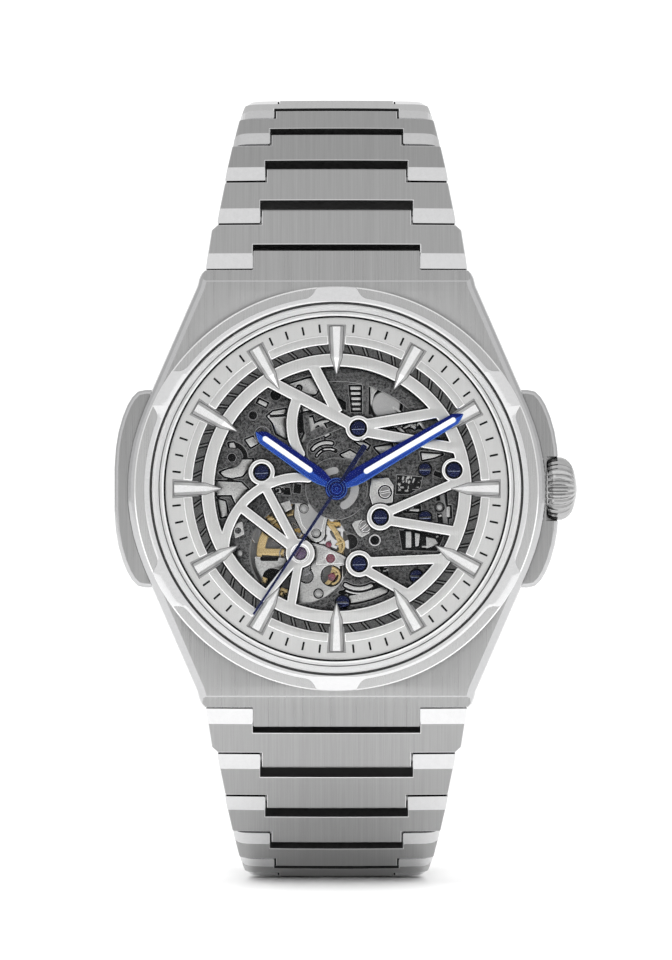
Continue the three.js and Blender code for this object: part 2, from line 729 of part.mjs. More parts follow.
const notchHalf = (index) => (NOTCH_SHARE * (LINK_WIDTH[index] ?? LINK_WIDTH.at(-1))) / 2;

function link(index) {
  const start = LINK_WIDTH[index] / 2;
  const end = index ? (LINK_WIDTH[index + 1] ?? LINK_WIDTH[index]) / 2 : FIRST_LINK_END_WIDTH / 2;
  const halfWidth = (u) => THREE.MathUtils.lerp(start, end, (u - ARM_START) / (BAR_END - ARM_START));
  const body = linkProfileSolid(LINK_BODY, halfWidth);
  const notch = linkProfileSolid(NOTCH_PROFILE, constantWidth(notchHalf(index)));
  const tongue = linkProfileSolid(TONGUE_PROFILE, constantWidth(notchHalf(index + 1) - SIDE_GAP));
  const whole = body.subtract(notch).add(tongue);
  const bored = whole.subtract(crossPin(PITCH, 0, PIN_BORE, 20));
  return bored.add(crossPin(0, 0, PIN_RADIUS, start - 0.9));
}

// Places of the pins, and each link's axes, for one side: +1 is the 12 o'clock side.
function sideFrames(side) {
  const frames = [];
  let { y, z } = FIRST_PIN;
  for (const tilt of [...LINK_TILT, 180]) {
    const angle = degrees(tilt);
    const along = new THREE.Vector3(0, Math.sin(angle), side * Math.cos(angle));
    const outward = new THREE.Vector3(0, -Math.cos(angle), side * Math.sin(angle));
    const across = new THREE.Vector3().crossVectors(along, outward);
    const matrix = new THREE.Matrix4().makeBasis(along, outward, across);
    frames.push(matrix.setPosition(0, y, side * z));
    y += PITCH * Math.sin(angle);
    z += PITCH * Math.cos(angle);
  }
  return frames;
}

// ---------------------------------------------------------------- folding clasp
// Drawn in the frame of the last pin on the 12 o'clock side, u running to the 6 o'clock side.
const upperFrames = sideFrames(1);
const lowerFrames = sideFrames(-1);
const CLASP_FRAME = upperFrames.at(-1);
const CLASP_SPAN = 2 * new THREE.Vector3().setFromMatrixPosition(CLASP_FRAME).z;
const COVER_END = CLASP_SPAN - 3.2;
const COVER_HINGE = { u: CLASP_SPAN - 6.2, n: 0 };
const BLADE_HINGE = { u: 5.2, n: -0.5 };
const BLADE_HALF = 6.5;
const SKIRT_INNER = 7.6;
const BUTTON_U = 11;

const coverTop = (u) => LINK_TOP + 1.1 * Math.sin((Math.PI * u) / COVER_END);

function claspCover() {
  const samples = Array.from({ length: 9 }, (_, i) => (COVER_END * i) / 8).slice(1, 8);
  const top = samples.map((u) => [u, coverTop(u)]).reverse();
  const under = samples.slice(1).map((u) => [u, coverTop(u) - 0.95]);
  const shell = [
    [ARM_START, 1.05],
    [ARM_START, -0.35],
    [-0.2, LINK_BOTTOM],
    [2.8, LINK_BOTTOM],
    [3.2, 0.9],
    ...under,
    [COVER_END, 0.6],
    [COVER_END, 1.3],
    ...top,
    [0.35, LINK_TOP],
  ];
  const skirt = [
    [2.6, -0.9],
    [COVER_END - 0.4, -0.9],
    [COVER_END, -0.4],
    [COVER_END, 1.2],
    [2.6, 1.4],
  ];
  const half = CLASP_WIDTH / 2;
  const plateSolid = linkProfileSolid(shell, constantWidth(half));
  const skirts = linkProfileSolid(skirt, constantWidth(half)).subtract(
    linkProfileSolid([[2, 3], [2, -3], [60, -3], [60, 3]], constantWidth(SKIRT_INNER)),
  );
  const notch = linkProfileSolid(NOTCH_PROFILE, constantWidth(notchHalf(LINKS_PER_SIDE)));
  const whole = plateSolid.add(skirts).subtract(notch);
  const bored = cut(whole, [
    crossPin(COVER_HINGE.u, COVER_HINGE.n, PIN_BORE, half - 0.35),
    crossPin(BUTTON_U, 0, 0.95, 20),
  ]);
  return bored.add(crossPin(0, 0, PIN_RADIUS, half - 0.9));
}

// Middle blade: hinged to the cover at one end and to the inner blade at the other.
function claspOuterBlade() {
  const profile = [
    [BLADE_HINGE.u + 1.3, 0.3],
    [BLADE_HINGE.u + 1.3, -0.4],
    [COVER_HINGE.u - 0.3, -0.4],
    [COVER_HINGE.u - 0.3, 0.3],
  ];
  const sheet = linkProfileSolid(profile, constantWidth(BLADE_HALF));
  const knuckle = crossPin(COVER_HINGE.u, COVER_HINGE.n, 0.62, BLADE_HALF);
  const coverPin = crossPin(COVER_HINGE.u, COVER_HINGE.n, PIN_RADIUS, SKIRT_INNER + 0.4);
  const ear = [
    [BLADE_HINGE.u - 0.8, 0.3],
    [BLADE_HINGE.u - 0.8, -1.2],
    [BLADE_HINGE.u + 0.8, -1.2],
    [BLADE_HINGE.u + 1.9, -0.4],
    [BLADE_HINGE.u + 1.9, 0.3],
  ];
  const ears = linkProfileSolid(ear, constantWidth(BLADE_HALF)).subtract(
    linkProfileSolid([[2, 3], [2, -3], [7.3, -3], [7.3, 3]], constantWidth(4.2)),
  );
  const hingePin = crossPin(BLADE_HINGE.u, BLADE_HINGE.n, PIN_RADIUS, 5.2);
  return join([sheet, knuckle, coverPin, ears, hingePin]);
}

// Inner blade: its two ears hold the last link of the 6 o'clock side.
function claspInnerBlade() {
  const sheetTop = -0.8;
  const profile = [
    [BLADE_HINGE.u, sheetTop],
    [BLADE_HINGE.u, -1.5],
    [CLASP_SPAN - 1.6, -1.5],
    [CLASP_SPAN - 1.6, sheetTop],
  ];
  const sheet = linkProfileSolid(profile, constantWidth(4.0));
  const wide = [
    [10, sheetTop],
    [10, -1.5],
    [CLASP_SPAN - 1.6, -1.5],
    [CLASP_SPAN - 1.6, sheetTop],
  ];
  const body = linkProfileSolid(wide, constantWidth(BLADE_HALF));
  const knuckle = crossPin(BLADE_HINGE.u, BLADE_HINGE.n, 0.85, 4.0);
  const ear = [
    [CLASP_SPAN - 2.6, 0.9],
    [CLASP_SPAN - 2.6, -1.5],
    [CLASP_SPAN + 0.4, -1.5],
    [CLASP_SPAN + 1.0, -0.3],
    [CLASP_SPAN + 1.0, 0.9],
  ];
  const tongueGap = [
    [CLASP_SPAN - 1.6, 3],
    [CLASP_SPAN - 1.6, -3],
    [CLASP_SPAN + 3, -3],
    [CLASP_SPAN + 3, 3],
  ];
  const ears = linkProfileSolid(ear, constantWidth(CLASP_WIDTH / 2 - 0.6)).subtract(
    linkProfileSolid(tongueGap, constantWidth(notchHalf(LINKS_PER_SIDE))),
  );
  const whole = join([sheet, body, knuckle, ears]);
  return cut(whole, [
    crossPin(BLADE_HINGE.u, BLADE_HINGE.n, PIN_BORE, 20),
    crossPin(CLASP_SPAN, 0, PIN_BORE, 20),
  ]);
}

const claspButton = (side) => {
  const geometry = new THREE.CylinderGeometry(0.8, 0.8, 2.6, SMALL_ROUND);
  return toSolid(geometry.rotateX(Math.PI / 2).translate(BUTTON_U, 0, side * (SKIRT_INNER + 0.9)));
};

// Spring bar in the last link's tongue, with its tips pressed in so that the clasp can lift away.
const springBar = () => crossPin(0, 0, PIN_RADIUS, notchHalf(LINKS_PER_SIDE) - SIDE_GAP);

// ---------------------------------------------------------------- assembly
const watch = new THREE.Group();
const head = new THREE.Group();
head.rotation.x = Math.PI / 2; // dial coordinates: height becomes -Y
watch.add(head);

const crownPiece = crown();
const onHead = [
  ["case_middle", caseMiddle(), brushedSteel],
  ["bezel", bezel(), brushedSteel],
  ["crystal", crystal(), sapphire],
  ["crystal_gasket", crystalGasket(), blackRubber],
  ["inner_flange", innerFlange(), polishedSteel],
  ["case_back", caseBack(), polishedSteel],
  ["display_crystal", displayCrystal(), sapphire],
  ["case_back_gasket", backGasket(), blackRubber],
  ["dial", dial(), silverDial],
  ["hour_hand", batonHand(HOUR_HAND, 9.1, 1.15, 0.86), blueSteel],
  ["minute_hand", batonHand(MINUTE_HAND, 14.0, 0.95, 0.54), blueSteel],
  ["seconds_hand", secondsHand(), blueSteel],
  ["movement_holder", movementHolder(), greyBridge],
  ["main_plate", mainPlate(), darkPlate],
  ["train_bridge", trainBridge(), greyBridge],
  ["balance_cock", balanceCock(), greyBridge],
  ["barrel", barrel(), brass],
  ["center_wheel", centerWheel(), brass],
  ["third_wheel", thirdWheel(), brass],
  ["fourth_wheel", fourthWheel(), brass],
  ["escape_wheel", escapeWheel(), polishedSteel],
  ["pallet_fork", palletFork(), polishedSteel],
  ["balance_wheel", balanceWheel(), brass],
  ["hairspring", hairspring(), springSteel],
  ["minute_wheel", minuteWheel(), brass],
  ["hour_wheel", hourWheel(), polishedSteel],
  ["rotor", rotor(), greyBridge],
];
for (const [name, solid, material] of onHead) head.add(toMesh(name, solid, material));

const tube = ring(1.15, 0.6, 0, 2.1, 0, 0, 16);
head.add(onStemAxis("crown", crownPiece.whole, crownPiece.from, polishedSteel));
head.add(onStemAxis("winding_stem", disc(0.5, 0, 8.4), 11.45, polishedSteel));
head.add(onStemAxis("crown_tube", tube, 17.7, polishedSteel));

for (let i = 0; i < LINKS_PER_SIDE; i++) {
  for (const [side, frames] of [[12, upperFrames], [6, lowerFrames]]) {
    const mesh = toMesh(`link_${side}_${String(i + 1).padStart(2, "0")}`, link(i), brushedSteel);
    mesh.applyMatrix4(frames[i]);
    watch.add(mesh);
  }
}

const claspPieces = [
  ["clasp_cover", claspCover(), brushedSteel],
  ["clasp_outer_blade", claspOuterBlade(), polishedSteel],
  ["clasp_inner_blade", claspInnerBlade(), polishedSteel],
  ["clasp_button_right", claspButton(1), polishedSteel],
  ["clasp_button_left", claspButton(-1), polishedSteel],
];
for (const [name, solid, material] of claspPieces) {
  const mesh = toMesh(name, solid, material);
  mesh.applyMatrix4(CLASP_FRAME);
  watch.add(mesh);
}
const bar6 = toMesh("clasp_spring_bar", springBar(), polishedSteel);
bar6.applyMatrix4(lowerFrames.at(-1));
watch.add(bar6);

export default watch;
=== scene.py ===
# Looks for the skeleton wristwatch. Lengths are in mm, and each piece's matrix scales them to metres.
# Dial coordinates are (x, y, height above the display back), and the frame's are (x, -height, y).
import contextlib
import math
import random

import bmesh
import bpy
import numpy as np
from mathutils import Matrix, Vector


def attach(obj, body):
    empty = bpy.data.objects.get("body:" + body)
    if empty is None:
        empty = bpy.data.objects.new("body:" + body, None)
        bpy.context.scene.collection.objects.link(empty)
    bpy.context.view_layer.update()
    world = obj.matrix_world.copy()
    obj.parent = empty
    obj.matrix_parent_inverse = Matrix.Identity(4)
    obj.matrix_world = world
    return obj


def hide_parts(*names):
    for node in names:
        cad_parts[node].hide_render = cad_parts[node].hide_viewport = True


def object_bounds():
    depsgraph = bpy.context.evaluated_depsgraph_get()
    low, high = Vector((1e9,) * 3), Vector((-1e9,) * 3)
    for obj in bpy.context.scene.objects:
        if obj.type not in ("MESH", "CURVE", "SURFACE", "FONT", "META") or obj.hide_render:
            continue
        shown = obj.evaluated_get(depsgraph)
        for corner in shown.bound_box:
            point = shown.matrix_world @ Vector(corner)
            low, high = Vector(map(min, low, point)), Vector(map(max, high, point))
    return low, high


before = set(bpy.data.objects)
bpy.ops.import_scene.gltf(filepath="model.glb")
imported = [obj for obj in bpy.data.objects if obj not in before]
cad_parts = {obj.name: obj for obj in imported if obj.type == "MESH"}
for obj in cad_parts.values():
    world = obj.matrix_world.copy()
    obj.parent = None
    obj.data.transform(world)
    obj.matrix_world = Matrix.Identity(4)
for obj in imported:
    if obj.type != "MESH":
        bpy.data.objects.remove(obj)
cad_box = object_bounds()
random.seed(7)

MM = Matrix.Scale(0.001, 4)
DIAL = MM @ Matrix(((1, 0, 0, 0), (0, 0, -1, 0), (0, 1, 0, 0), (0, 0, 0, 1)))
IN_METRES = 1000.0  # texture scale on CAD nodes, whose meshes are in metres
rad = math.radians


def pol(r, angle, x=0.0, y=0.0):
    """The point at a radius and an angle in degrees from (x, y)."""
    return (x + r * math.cos(rad(angle)), y + r * math.sin(rad(angle)))


# ------------------------------------------------------------------ materials
class Nodes:
    """Short hand for building a node tree around one Principled shader."""

    def __init__(self, name):
        self.material = bpy.data.materials.new(name)
        self.material.use_nodes = True
        self.tree = self.material.node_tree
        self.shader = self.tree.nodes["Principled BSDF"]

    def add(self, kind, **values):
        node = self.tree.nodes.new(kind)
        for key, value in values.items():
            if key in node.inputs:
                node.inputs[key].default_value = value
            else:
                setattr(node, key, value)
        return node

    def link(self, a, b):
        self.tree.links.new(a, b)

    def coords(self, scale):
        where = self.add("ShaderNodeTexCoord")
        mapping = self.add("ShaderNodeMapping")
        mapping.inputs["Scale"].default_value = scale
        self.link(where.outputs["Object"], mapping.inputs["Vector"])
        return mapping.outputs["Vector"]

    def noise(self, scale, detail=2.0, rough=0.5):
        node = self.add("ShaderNodeTexNoise", Scale=1.0, Detail=detail, Roughness=rough)
        self.link(self.coords(scale), node.inputs["Vector"])
        return node.outputs["Fac"]

    def spread(self, value, low, high, from_low=0.3, from_high=0.7):
        node = self.add("ShaderNodeMapRange")
        node.inputs["From Min"].default_value = from_low
        node.inputs["From Max"].default_value = from_high
        node.inputs["To Min"].default_value = low
        node.inputs["To Max"].default_value = high
        self.link(value, node.inputs["Value"])
        return node.outputs["Result"]

    def ramp(self, value, low, high, at=(0.3, 0.7)):
        node = self.add("ShaderNodeValToRGB")
        node.color_ramp.elements[0].position = at[0]
        node.color_ramp.elements[1].position = at[1]
        node.color_ramp.elements[0].color = (*rgb(low), 1)
        node.color_ramp.elements[1].color = (*rgb(high), 1)
        self.link(value, node.inputs["Fac"])
        return node.outputs["Color"]

    def bump(self, value, strength, distance):
        node = self.add("ShaderNodeBump", Strength=strength, Distance=distance)
        self.link(value, node.inputs["Height"])
        self.link(node.outputs["Normal"], self.shader.inputs["Normal"])

    def set(self, **values):
        for key, value in values.items():
            self.shader.inputs[key.replace("_", " ")].default_value = value


def rgb(color):
    """A colour, which may be given as one number if it is a grey."""
    return color if isinstance(color, tuple) else (color,) * 3


def tint(color, factor):
    return tuple(min(1.0, c * factor) for c in rgb(color))


def brushed(name, color, rough, across, unit=1.0, contrast=0.14, bump=0.05, fine=14.0):
    """Metal brushed in straight lines: its streaks change only along the across axis."""
    m = Nodes(name)
    scale = [0.12 * unit] * 3
    scale["xyz".index(across)] = fine * unit
    streaks = m.noise(tuple(scale), 3.0, 0.6)
    broad = m.noise(tuple(s * 0.16 for s in scale), 2.0)
    mix = m.add("ShaderNodeMath", operation="MULTIPLY_ADD")
    mix.inputs[1].default_value = 0.7
    m.link(streaks, mix.inputs[0])
    part = m.add("ShaderNodeMath", operation="MULTIPLY")
    part.inputs[1].default_value = 0.3
    m.link(broad, part.inputs[0])
    m.link(part.outputs[0], mix.inputs[2])
    value = mix.outputs[0]
    m.link(m.ramp(value, tint(color, 1 - contrast), tint(color, 1 + contrast)), m.shader.inputs["Base Color"])
    m.link(m.spread(value, rough * 0.8, rough * 1.25), m.shader.inputs["Roughness"])
    m.bump(value, bump, 0.00002)
    m.set(Metallic=1.0)
    return m.material


def polished(name, color, rough=0.09, unit=1.0, haze=0.04):
    """Polished metal with faint rubbing marks."""
    m = Nodes(name)
    marks = m.noise((2.3 * unit, 3.1 * unit, 2.7 * unit), 5.0, 0.7)
    m.link(m.spread(marks, rough, rough + haze), m.shader.inputs["Roughness"])
    m.link(m.ramp(marks, tint(color, 0.96), tint(color, 1.03)), m.shader.inputs["Base Color"])
    m.set(Metallic=1.0)
    return m.material


def grained(name, low, high, rough, scale, unit=1.0, metallic=0.6, bump=0.5, spread=(0.32, 0.68)):
    """Sand-grained or matt metal: fine random grain with a broader patchiness."""
    m = Nodes(name)
    grain = m.noise((scale * unit,) * 3, 4.0, 0.75)
    m.link(m.ramp(grain, low, high, spread), m.shader.inputs["Base Color"])
    m.link(m.spread(grain, rough * 0.8, min(1.0, rough * 1.2)), m.shader.inputs["Roughness"])
    m.bump(grain, bump, 0.00003)
    m.set(Metallic=metallic)
    return m.material


def clear(name, alpha=0.025):
    """Coated sapphire: nearly invisible from the front, with a faint smudge in its gloss."""
    m = Nodes(name)
    smudge = m.noise((0.11, 0.09, 0.1), 3.0)
    m.link(m.spread(smudge, 0.02, 0.05), m.shader.inputs["Roughness"])
    edge = m.add("ShaderNodeLayerWeight", Blend=0.12)
    m.link(m.spread(edge.outputs["Facing"], alpha, 0.35, 0.3, 1.0), m.shader.inputs["Alpha"])
    m.set(Metallic=0.0)
    m.shader.inputs["Base Color"].default_value = (0.03, 0.035, 0.04, 1)
    return m.material


def jewel(name, color):
    m = Nodes(name)
    depth = m.noise((3.0, 3.0, 3.0), 2.0)
    m.link(m.ramp(depth, tint(color, 0.6), tint(color, 1.5)), m.shader.inputs["Base Color"])
    m.link(m.spread(depth, 0.03, 0.08), m.shader.inputs["Roughness"])
    m.set(Metallic=0.0)
    m.shader.inputs["Coat Weight"].default_value = 1.0
    return m.material


BRIGHT = (0.68, 0.68, 0.685)
MAT = {
    "case": brushed("steel_brushed_upright", 0.37, 0.3, "x", contrast=0.13, fine=16.0),
    # the case's brushed steel made darker for the flanks: painted shade
    "wing": brushed("steel_brushed_wing_shaded", 0.3, 0.3, "x", contrast=0.13, fine=16.0),
    "link_back": brushed("bridge_striped", 0.45, 0.3, "y", contrast=0.22, fine=3.0),
    "link": brushed("steel_brushed_lengthwise", 0.375, 0.33, "z", contrast=0.13),
    "polish": polished("steel_polished", BRIGHT),
    "polish_cad": polished("steel_polished_plain", BRIGHT, unit=IN_METRES),
    "facet": grained("index_facet", 0.6, 0.65, 0.35, 1.0, metallic=0.6, bump=0.0),
    # near black for the faces inside the links' joints: painted shade
    "joint": grained("joint_shadow", 0.012, 0.03, 0.5, 3.0, metallic=0.6, bump=0.1),
    "flank": polished("steel_flank_bevel", (0.5, 0.5, 0.505), 0.1),
    "crown": polished("crown_steel", 0.42, 0.12),
    "flange": grained("flange_satin", 0.8, 0.82, 0.35, 0.3, metallic=0.3, bump=0.0),
    "bezel": brushed("steel_brushed_bezel", 0.44, 0.28, "x", contrast=0.06),
    "dial": brushed("dial_silver", (0.62, 0.62, 0.615), 0.34, "x", contrast=0.05, bump=0.02),
    "dial_light": brushed("dial_light", (0.56, 0.56, 0.555), 0.36, "x", contrast=0.09, bump=0.02),
    "dial_edge": polished("dial_edge", 0.9, 0.12),
    "rim": grained("movement_rim", 0.06, 0.15, 0.5, 6.0, metallic=0.8, bump=0.2),
    "plate": grained("plate_dark", (0.006, 0.006, 0.007), 0.17, 0.5, 4.5, metallic=0.7, spread=(0.38, 0.64)),
    "plate_low": grained("plate_deep", (0.004, 0.004, 0.005), 0.025, 0.6, 5.0, metallic=0.5),
    "plate_cad": grained("plate_dark_plain", (0.006, 0.006, 0.007), 0.17, 0.5, 4.5, IN_METRES, 0.7,
        spread=(0.38, 0.64)),
    "plate_edge": grained("plate_dark_edge", 0.2, 0.4, 0.35, 6.0, metallic=1.0, bump=0.1),
    "silver": grained("bridge_silver", 0.3, (0.58, 0.58, 0.57), 0.32, 7.0, metallic=1.0, bump=0.25),
    "satin": grained("satin_steel", 0.36, 0.42, 0.4, 4.0, metallic=1.0, bump=0.1),
    "grey": grained("bridge_grey", 0.16, 0.28, 0.4, 8.0, metallic=1.0, bump=0.2),
    "gold": polished("gilt_brass", (0.5, 0.385, 0.2), 0.22),
    "gold_cad": polished("gilt_brass_plain", (0.55, 0.38, 0.15), 0.25, unit=IN_METRES),
    "blue": polished("blued_steel", (0.024, 0.065, 0.34), 0.14),
    # a darker copy of the blued steel: painted shade
    "blue_deep": polished("blued_steel_shade", (0.01, 0.018, 0.15), 0.2),
    # a lighter copy of the blued steel for edges and hub rings: painted highlight
    "blue_edge": polished("blued_steel_highlight", (0.1, 0.22, 0.6), 0.12),
    "navy": polished("blued_screw", (0.016, 0.02, 0.055), 0.25),
    # a lighter strip laid in the blued screws' slots: painted highlight
    "navy_line": polished("blued_screw_highlight", (0.3, 0.34, 0.46), 0.25),
    "lume": grained("lume_white", (0.85, 0.86, 0.85), 0.95, 0.6, 12.0, metallic=0.0, bump=0.1),
    # black for the printed minute marks, and for the sheets and rings set under or round parts where shade
    # falls: painted shade
    "ink": grained("ink_and_shade_black", 0.006, 0.02, 0.5, 10.0, metallic=0.9, bump=0.1),
    "rubber": grained("gasket_black", 0.006, 0.02, 0.6, 10.0, metallic=0.0),
    "rubber_cad": grained("gasket_black_plain", 0.006, 0.02, 0.6, 10.0, IN_METRES, 0.0),
    "ruby": jewel("ruby", (0.12, 0.01, 0.03)),
    "plum": jewel("ruby_deep", (0.035, 0.012, 0.05)),
    "glass": clear("sapphire"),
    "spring_cad": polished("hairspring_alloy_plain", (0.3, 0.3, 0.32), 0.2, unit=IN_METRES),
    "grey_cad": grained("bridge_grey_plain", 0.22, 0.36, 0.4, 8.0, IN_METRES, 1.0, 0.2),
}


# ------------------------------------------------------------------ mesh helpers
def linked(name, data):
    obj = bpy.data.objects.new(name, data)
    bpy.context.scene.collection.objects.link(obj)
    return obj


def baked(obj):
    """The object's mesh with its modifiers applied."""
    bpy.context.view_layer.update()
    return bpy.data.meshes.new_from_object(obj.evaluated_get(bpy.context.evaluated_depsgraph_get()))


@contextlib.contextmanager
def editing(mesh):
    """The mesh as a bmesh, which is written back at the end."""
    bm = bmesh.new()
    bm.from_mesh(mesh)
    yield bm
    bm.to_mesh(mesh)
    bm.free()


def face_outward(bm):
    bmesh.ops.recalc_face_normals(bm, faces=bm.faces)


def split_at(bm, point, normal, **options):
    geom = bm.verts[:] + bm.edges[:] + bm.faces[:]
    return bmesh.ops.bisect_plane(bm, geom=geom, plane_co=point, plane_no=normal, dist=1e-5, **options)


def piece(name, mesh, materials, body="case", matrix=DIAL, smooth=25):
    """One finished piece. Its materials are keys of MAT, spaced apart, and the first fills unmarked faces."""
    for key in materials.split():
        mesh.materials.append(MAT[key])
    if smooth:
        mesh.shade_smooth()
        mesh.set_sharp_from_angle(angle=rad(smooth))
    obj = linked(name, mesh)
    obj.matrix_world = matrix
    bpy.context.view_layer.update()
    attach(obj, body)
    return obj


def mesh_from(verts, faces):
    mesh = bpy.data.meshes.new("part")
    mesh.from_pydata([tuple(v) for v in verts], [], faces)
    mesh.validate()
    return mesh


def merged(meshes):
    """Several meshes as one."""
    bm = bmesh.new()
    for mesh in meshes:
        bm.from_mesh(mesh)
    out = bpy.data.meshes.new("joined")
    bm.to_mesh(out)
    bm.free()
    return out


ROUND = 192  # sides of the largest turned parts


def lathe(profile, sides, x=0.0, y=0.0):
    """Turned about the height axis; profile is an open or closed list of (radius, height)."""
    verts, faces, rows = [], [], []
    for r, h in profile:
        if r < 1e-6:
            rows.append([len(verts)] * sides)
            verts.append((x, y, h))
        else:
            rows.append(list(range(len(verts), len(verts) + sides)))
            verts += [(*pol(r, 360 * i / sides, x, y), h) for i in range(sides)]
    closed = profile[0][0] > 1e-6 and profile[-1][0] > 1e-6
    pairs = list(zip(rows, rows[1:])) + ([(rows[-1], rows[0])] if closed else [])
    for a, b in pairs:
        for i in range(sides):
            j = (i + 1) % sides
            loop = [a[i], a[j], b[j], b[i]]
            loop = [v for k, v in enumerate(loop) if v != loop[k - 1]]
            if len(loop) > 2:
                faces.append(loop)
    mesh = mesh_from(verts, faces)
    with editing(mesh) as bm:
        face_outward(bm)
    return mesh


# signed distance outlines: each is a function of numpy grids, negative inside
def s_disc(x, y, r):
    return lambda X, Y: np.hypot(X - x, Y - y) - r


def s_ring(x, y, outer, inner):
    return lambda X, Y: np.abs(np.hypot(X - x, Y - y) - (outer + inner) / 2) - (outer - inner) / 2


def s_bar(a, b, width, width_b=None, rounded=False):
    """A straight bar, tapering from width to width_b."""
    (x0, y0), (x1, y1) = a, b
    length = math.hypot(x1 - x0, y1 - y0)
    ux, uy = (x1 - x0) / length, (y1 - y0) / length
    end = width if width_b is None else width_b

    def field(X, Y):
        s = (X - x0) * ux + (Y - y0) * uy
        t = np.abs(-(X - x0) * uy + (Y - y0) * ux)
        half = (width + (end - width) * np.clip(s / length, 0, 1)) / 2
        if rounded:
            return np.hypot(t, s - np.clip(s, 0, length)) - half
        return np.maximum(t - half, np.maximum(-s, s - length))

    return field


def s_arc(x, y, r, width, start, end):
    """A band along an arc, with round ends."""
    middle, half = (start + end) / 2, abs(end - start) / 2

    def field(X, Y):
        angle = np.degrees(np.arctan2(Y - y, X - x)) - middle
        angle = (angle + 180) % 360 - 180
        on = np.clip(angle, -half, half) + middle
        px, py = x + r * np.cos(np.radians(on)), y + r * np.sin(np.radians(on))
        inside = np.abs(angle) <= half
        along = np.abs(np.hypot(X - x, Y - y) - r)
        return np.where(inside, along, np.hypot(X - px, Y - py)) - width / 2

    return field


def s_poly(points):
    """Exact signed distance to a polygon."""

    def field(X, Y):
        best = np.full(X.shape, 1e9)
        inside = np.zeros(X.shape, bool)
        for (ax, ay), (bx, by) in zip(points, points[1:] + points[:1]):
            ex, ey = bx - ax, by - ay
            wx, wy = X - ax, Y - ay
            t = np.clip((wx * ex + wy * ey) / (ex * ex + ey * ey), 0, 1)
            best = np.minimum(best, np.hypot(wx - ex * t, wy - ey * t))
            crosses = (ay > Y) != (by > Y)
            at = ax + (Y - ay) * (ex / ey if ey else 0)
            inside ^= crosses & (X < at)
        return np.where(inside, -best, best)

    return field


def s_union(*fields, blend=0.0):
    def field(X, Y):
        total = fields[0](X, Y)
        for other in fields[1:]:
            value = other(X, Y)
            if blend:
                h = np.clip(0.5 + 0.5 * (value - total) / blend, 0, 1)
                total = value * (1 - h) + total * h - blend * h * (1 - h)
            else:
                total = np.minimum(total, value)
        return total

    return field


def s_cut(base, *tools):
    def field(X, Y):
        total = base(X, Y)
        for tool in tools:
            total = np.maximum(total, -tool(X, Y))
        return total

    return field


def s_both(a, b):
    return lambda X, Y: np.maximum(a(X, Y), b(X, Y))


def s_grow(field, margin):
    return lambda X, Y: field(X, Y) - margin


SEGMENTS = {
    1: [(3, 0)], 2: [(0, 1)], 3: [(3, 1)], 4: [(1, 2)], 5: [(3, 2), (1, 0)], 6: [(0, 2)], 7: [(3, 2)],
    8: [(2, 3)], 9: [(2, 0)], 10: [(2, 1), (0, 3)], 11: [(2, 1)], 12: [(1, 3)], 13: [(1, 0)], 14: [(0, 3)],
}


def contours(field, box, step, level):
    """Closed outlines of the field at a level, by marching squares."""
    xs = np.arange(box[0], box[2] + step, step)
    ys = np.arange(box[1], box[3] + step, step)
    X, Y = np.meshgrid(xs, ys, indexing="ij")
    V = field(X, Y) - level + 1e-9
    inside = V < 0
    code = inside[:-1, :-1] * 1 + inside[1:, :-1] * 2 + inside[1:, 1:] * 4 + inside[:-1, 1:] * 8
    nexts = {}

    def key(i, j, edge):
        if edge == 0:
            return (0, i, j)
        if edge == 2:
            return (0, i, j + 1)
        return (1, i, j) if edge == 3 else (1, i + 1, j)

    for i, j in zip(*np.nonzero((code > 0) & (code < 15))):
        for a, b in SEGMENTS[int(code[i, j])]:
            nexts[key(i, j, a)] = key(i, j, b)

    def point(k):
        kind, i, j = k
        a = V[i, j]
        if kind == 0:
            t = a / (a - V[i + 1, j])
            return (xs[i] + t * step, ys[j])
        t = a / (a - V[i, j + 1])
        return (xs[i], ys[j] + t * step)

    loops = []
    while nexts:
        start, here = next(iter(nexts.items()))
        loop = [start]
        del nexts[start]
        while here != start:
            loop.append(here)
            here = nexts.pop(here, start)
        if len(loop) > 5:
            loops.append(np.array([point(k) for k in loop]))
    return loops


def simplified(points, tolerance):
    """Fewer points on a closed outline, each original one staying within the tolerance."""
    far = int(np.argmax(np.hypot(*(points - points[0]).T)))
    keep = {0, far}
    closed = np.vstack([points, points[:1]])
    stack = [(0, far), (far, len(points))]
    while stack:
        a, b = stack.pop()
        if b - a < 2:
            continue
        p, q = closed[a], closed[b]
        d = q - p
        length = math.hypot(*d) or 1e-9
        off = closed[a + 1 : b] - p
        gap = np.abs(off[:, 0] * d[1] - off[:, 1] * d[0]) / length
        k = int(np.argmax(gap))
        if gap[k] > tolerance:
            keep.add(a + 1 + k)
            stack += [(a, a + 1 + k), (a + 1 + k, b)]
    return closed[sorted(keep)]


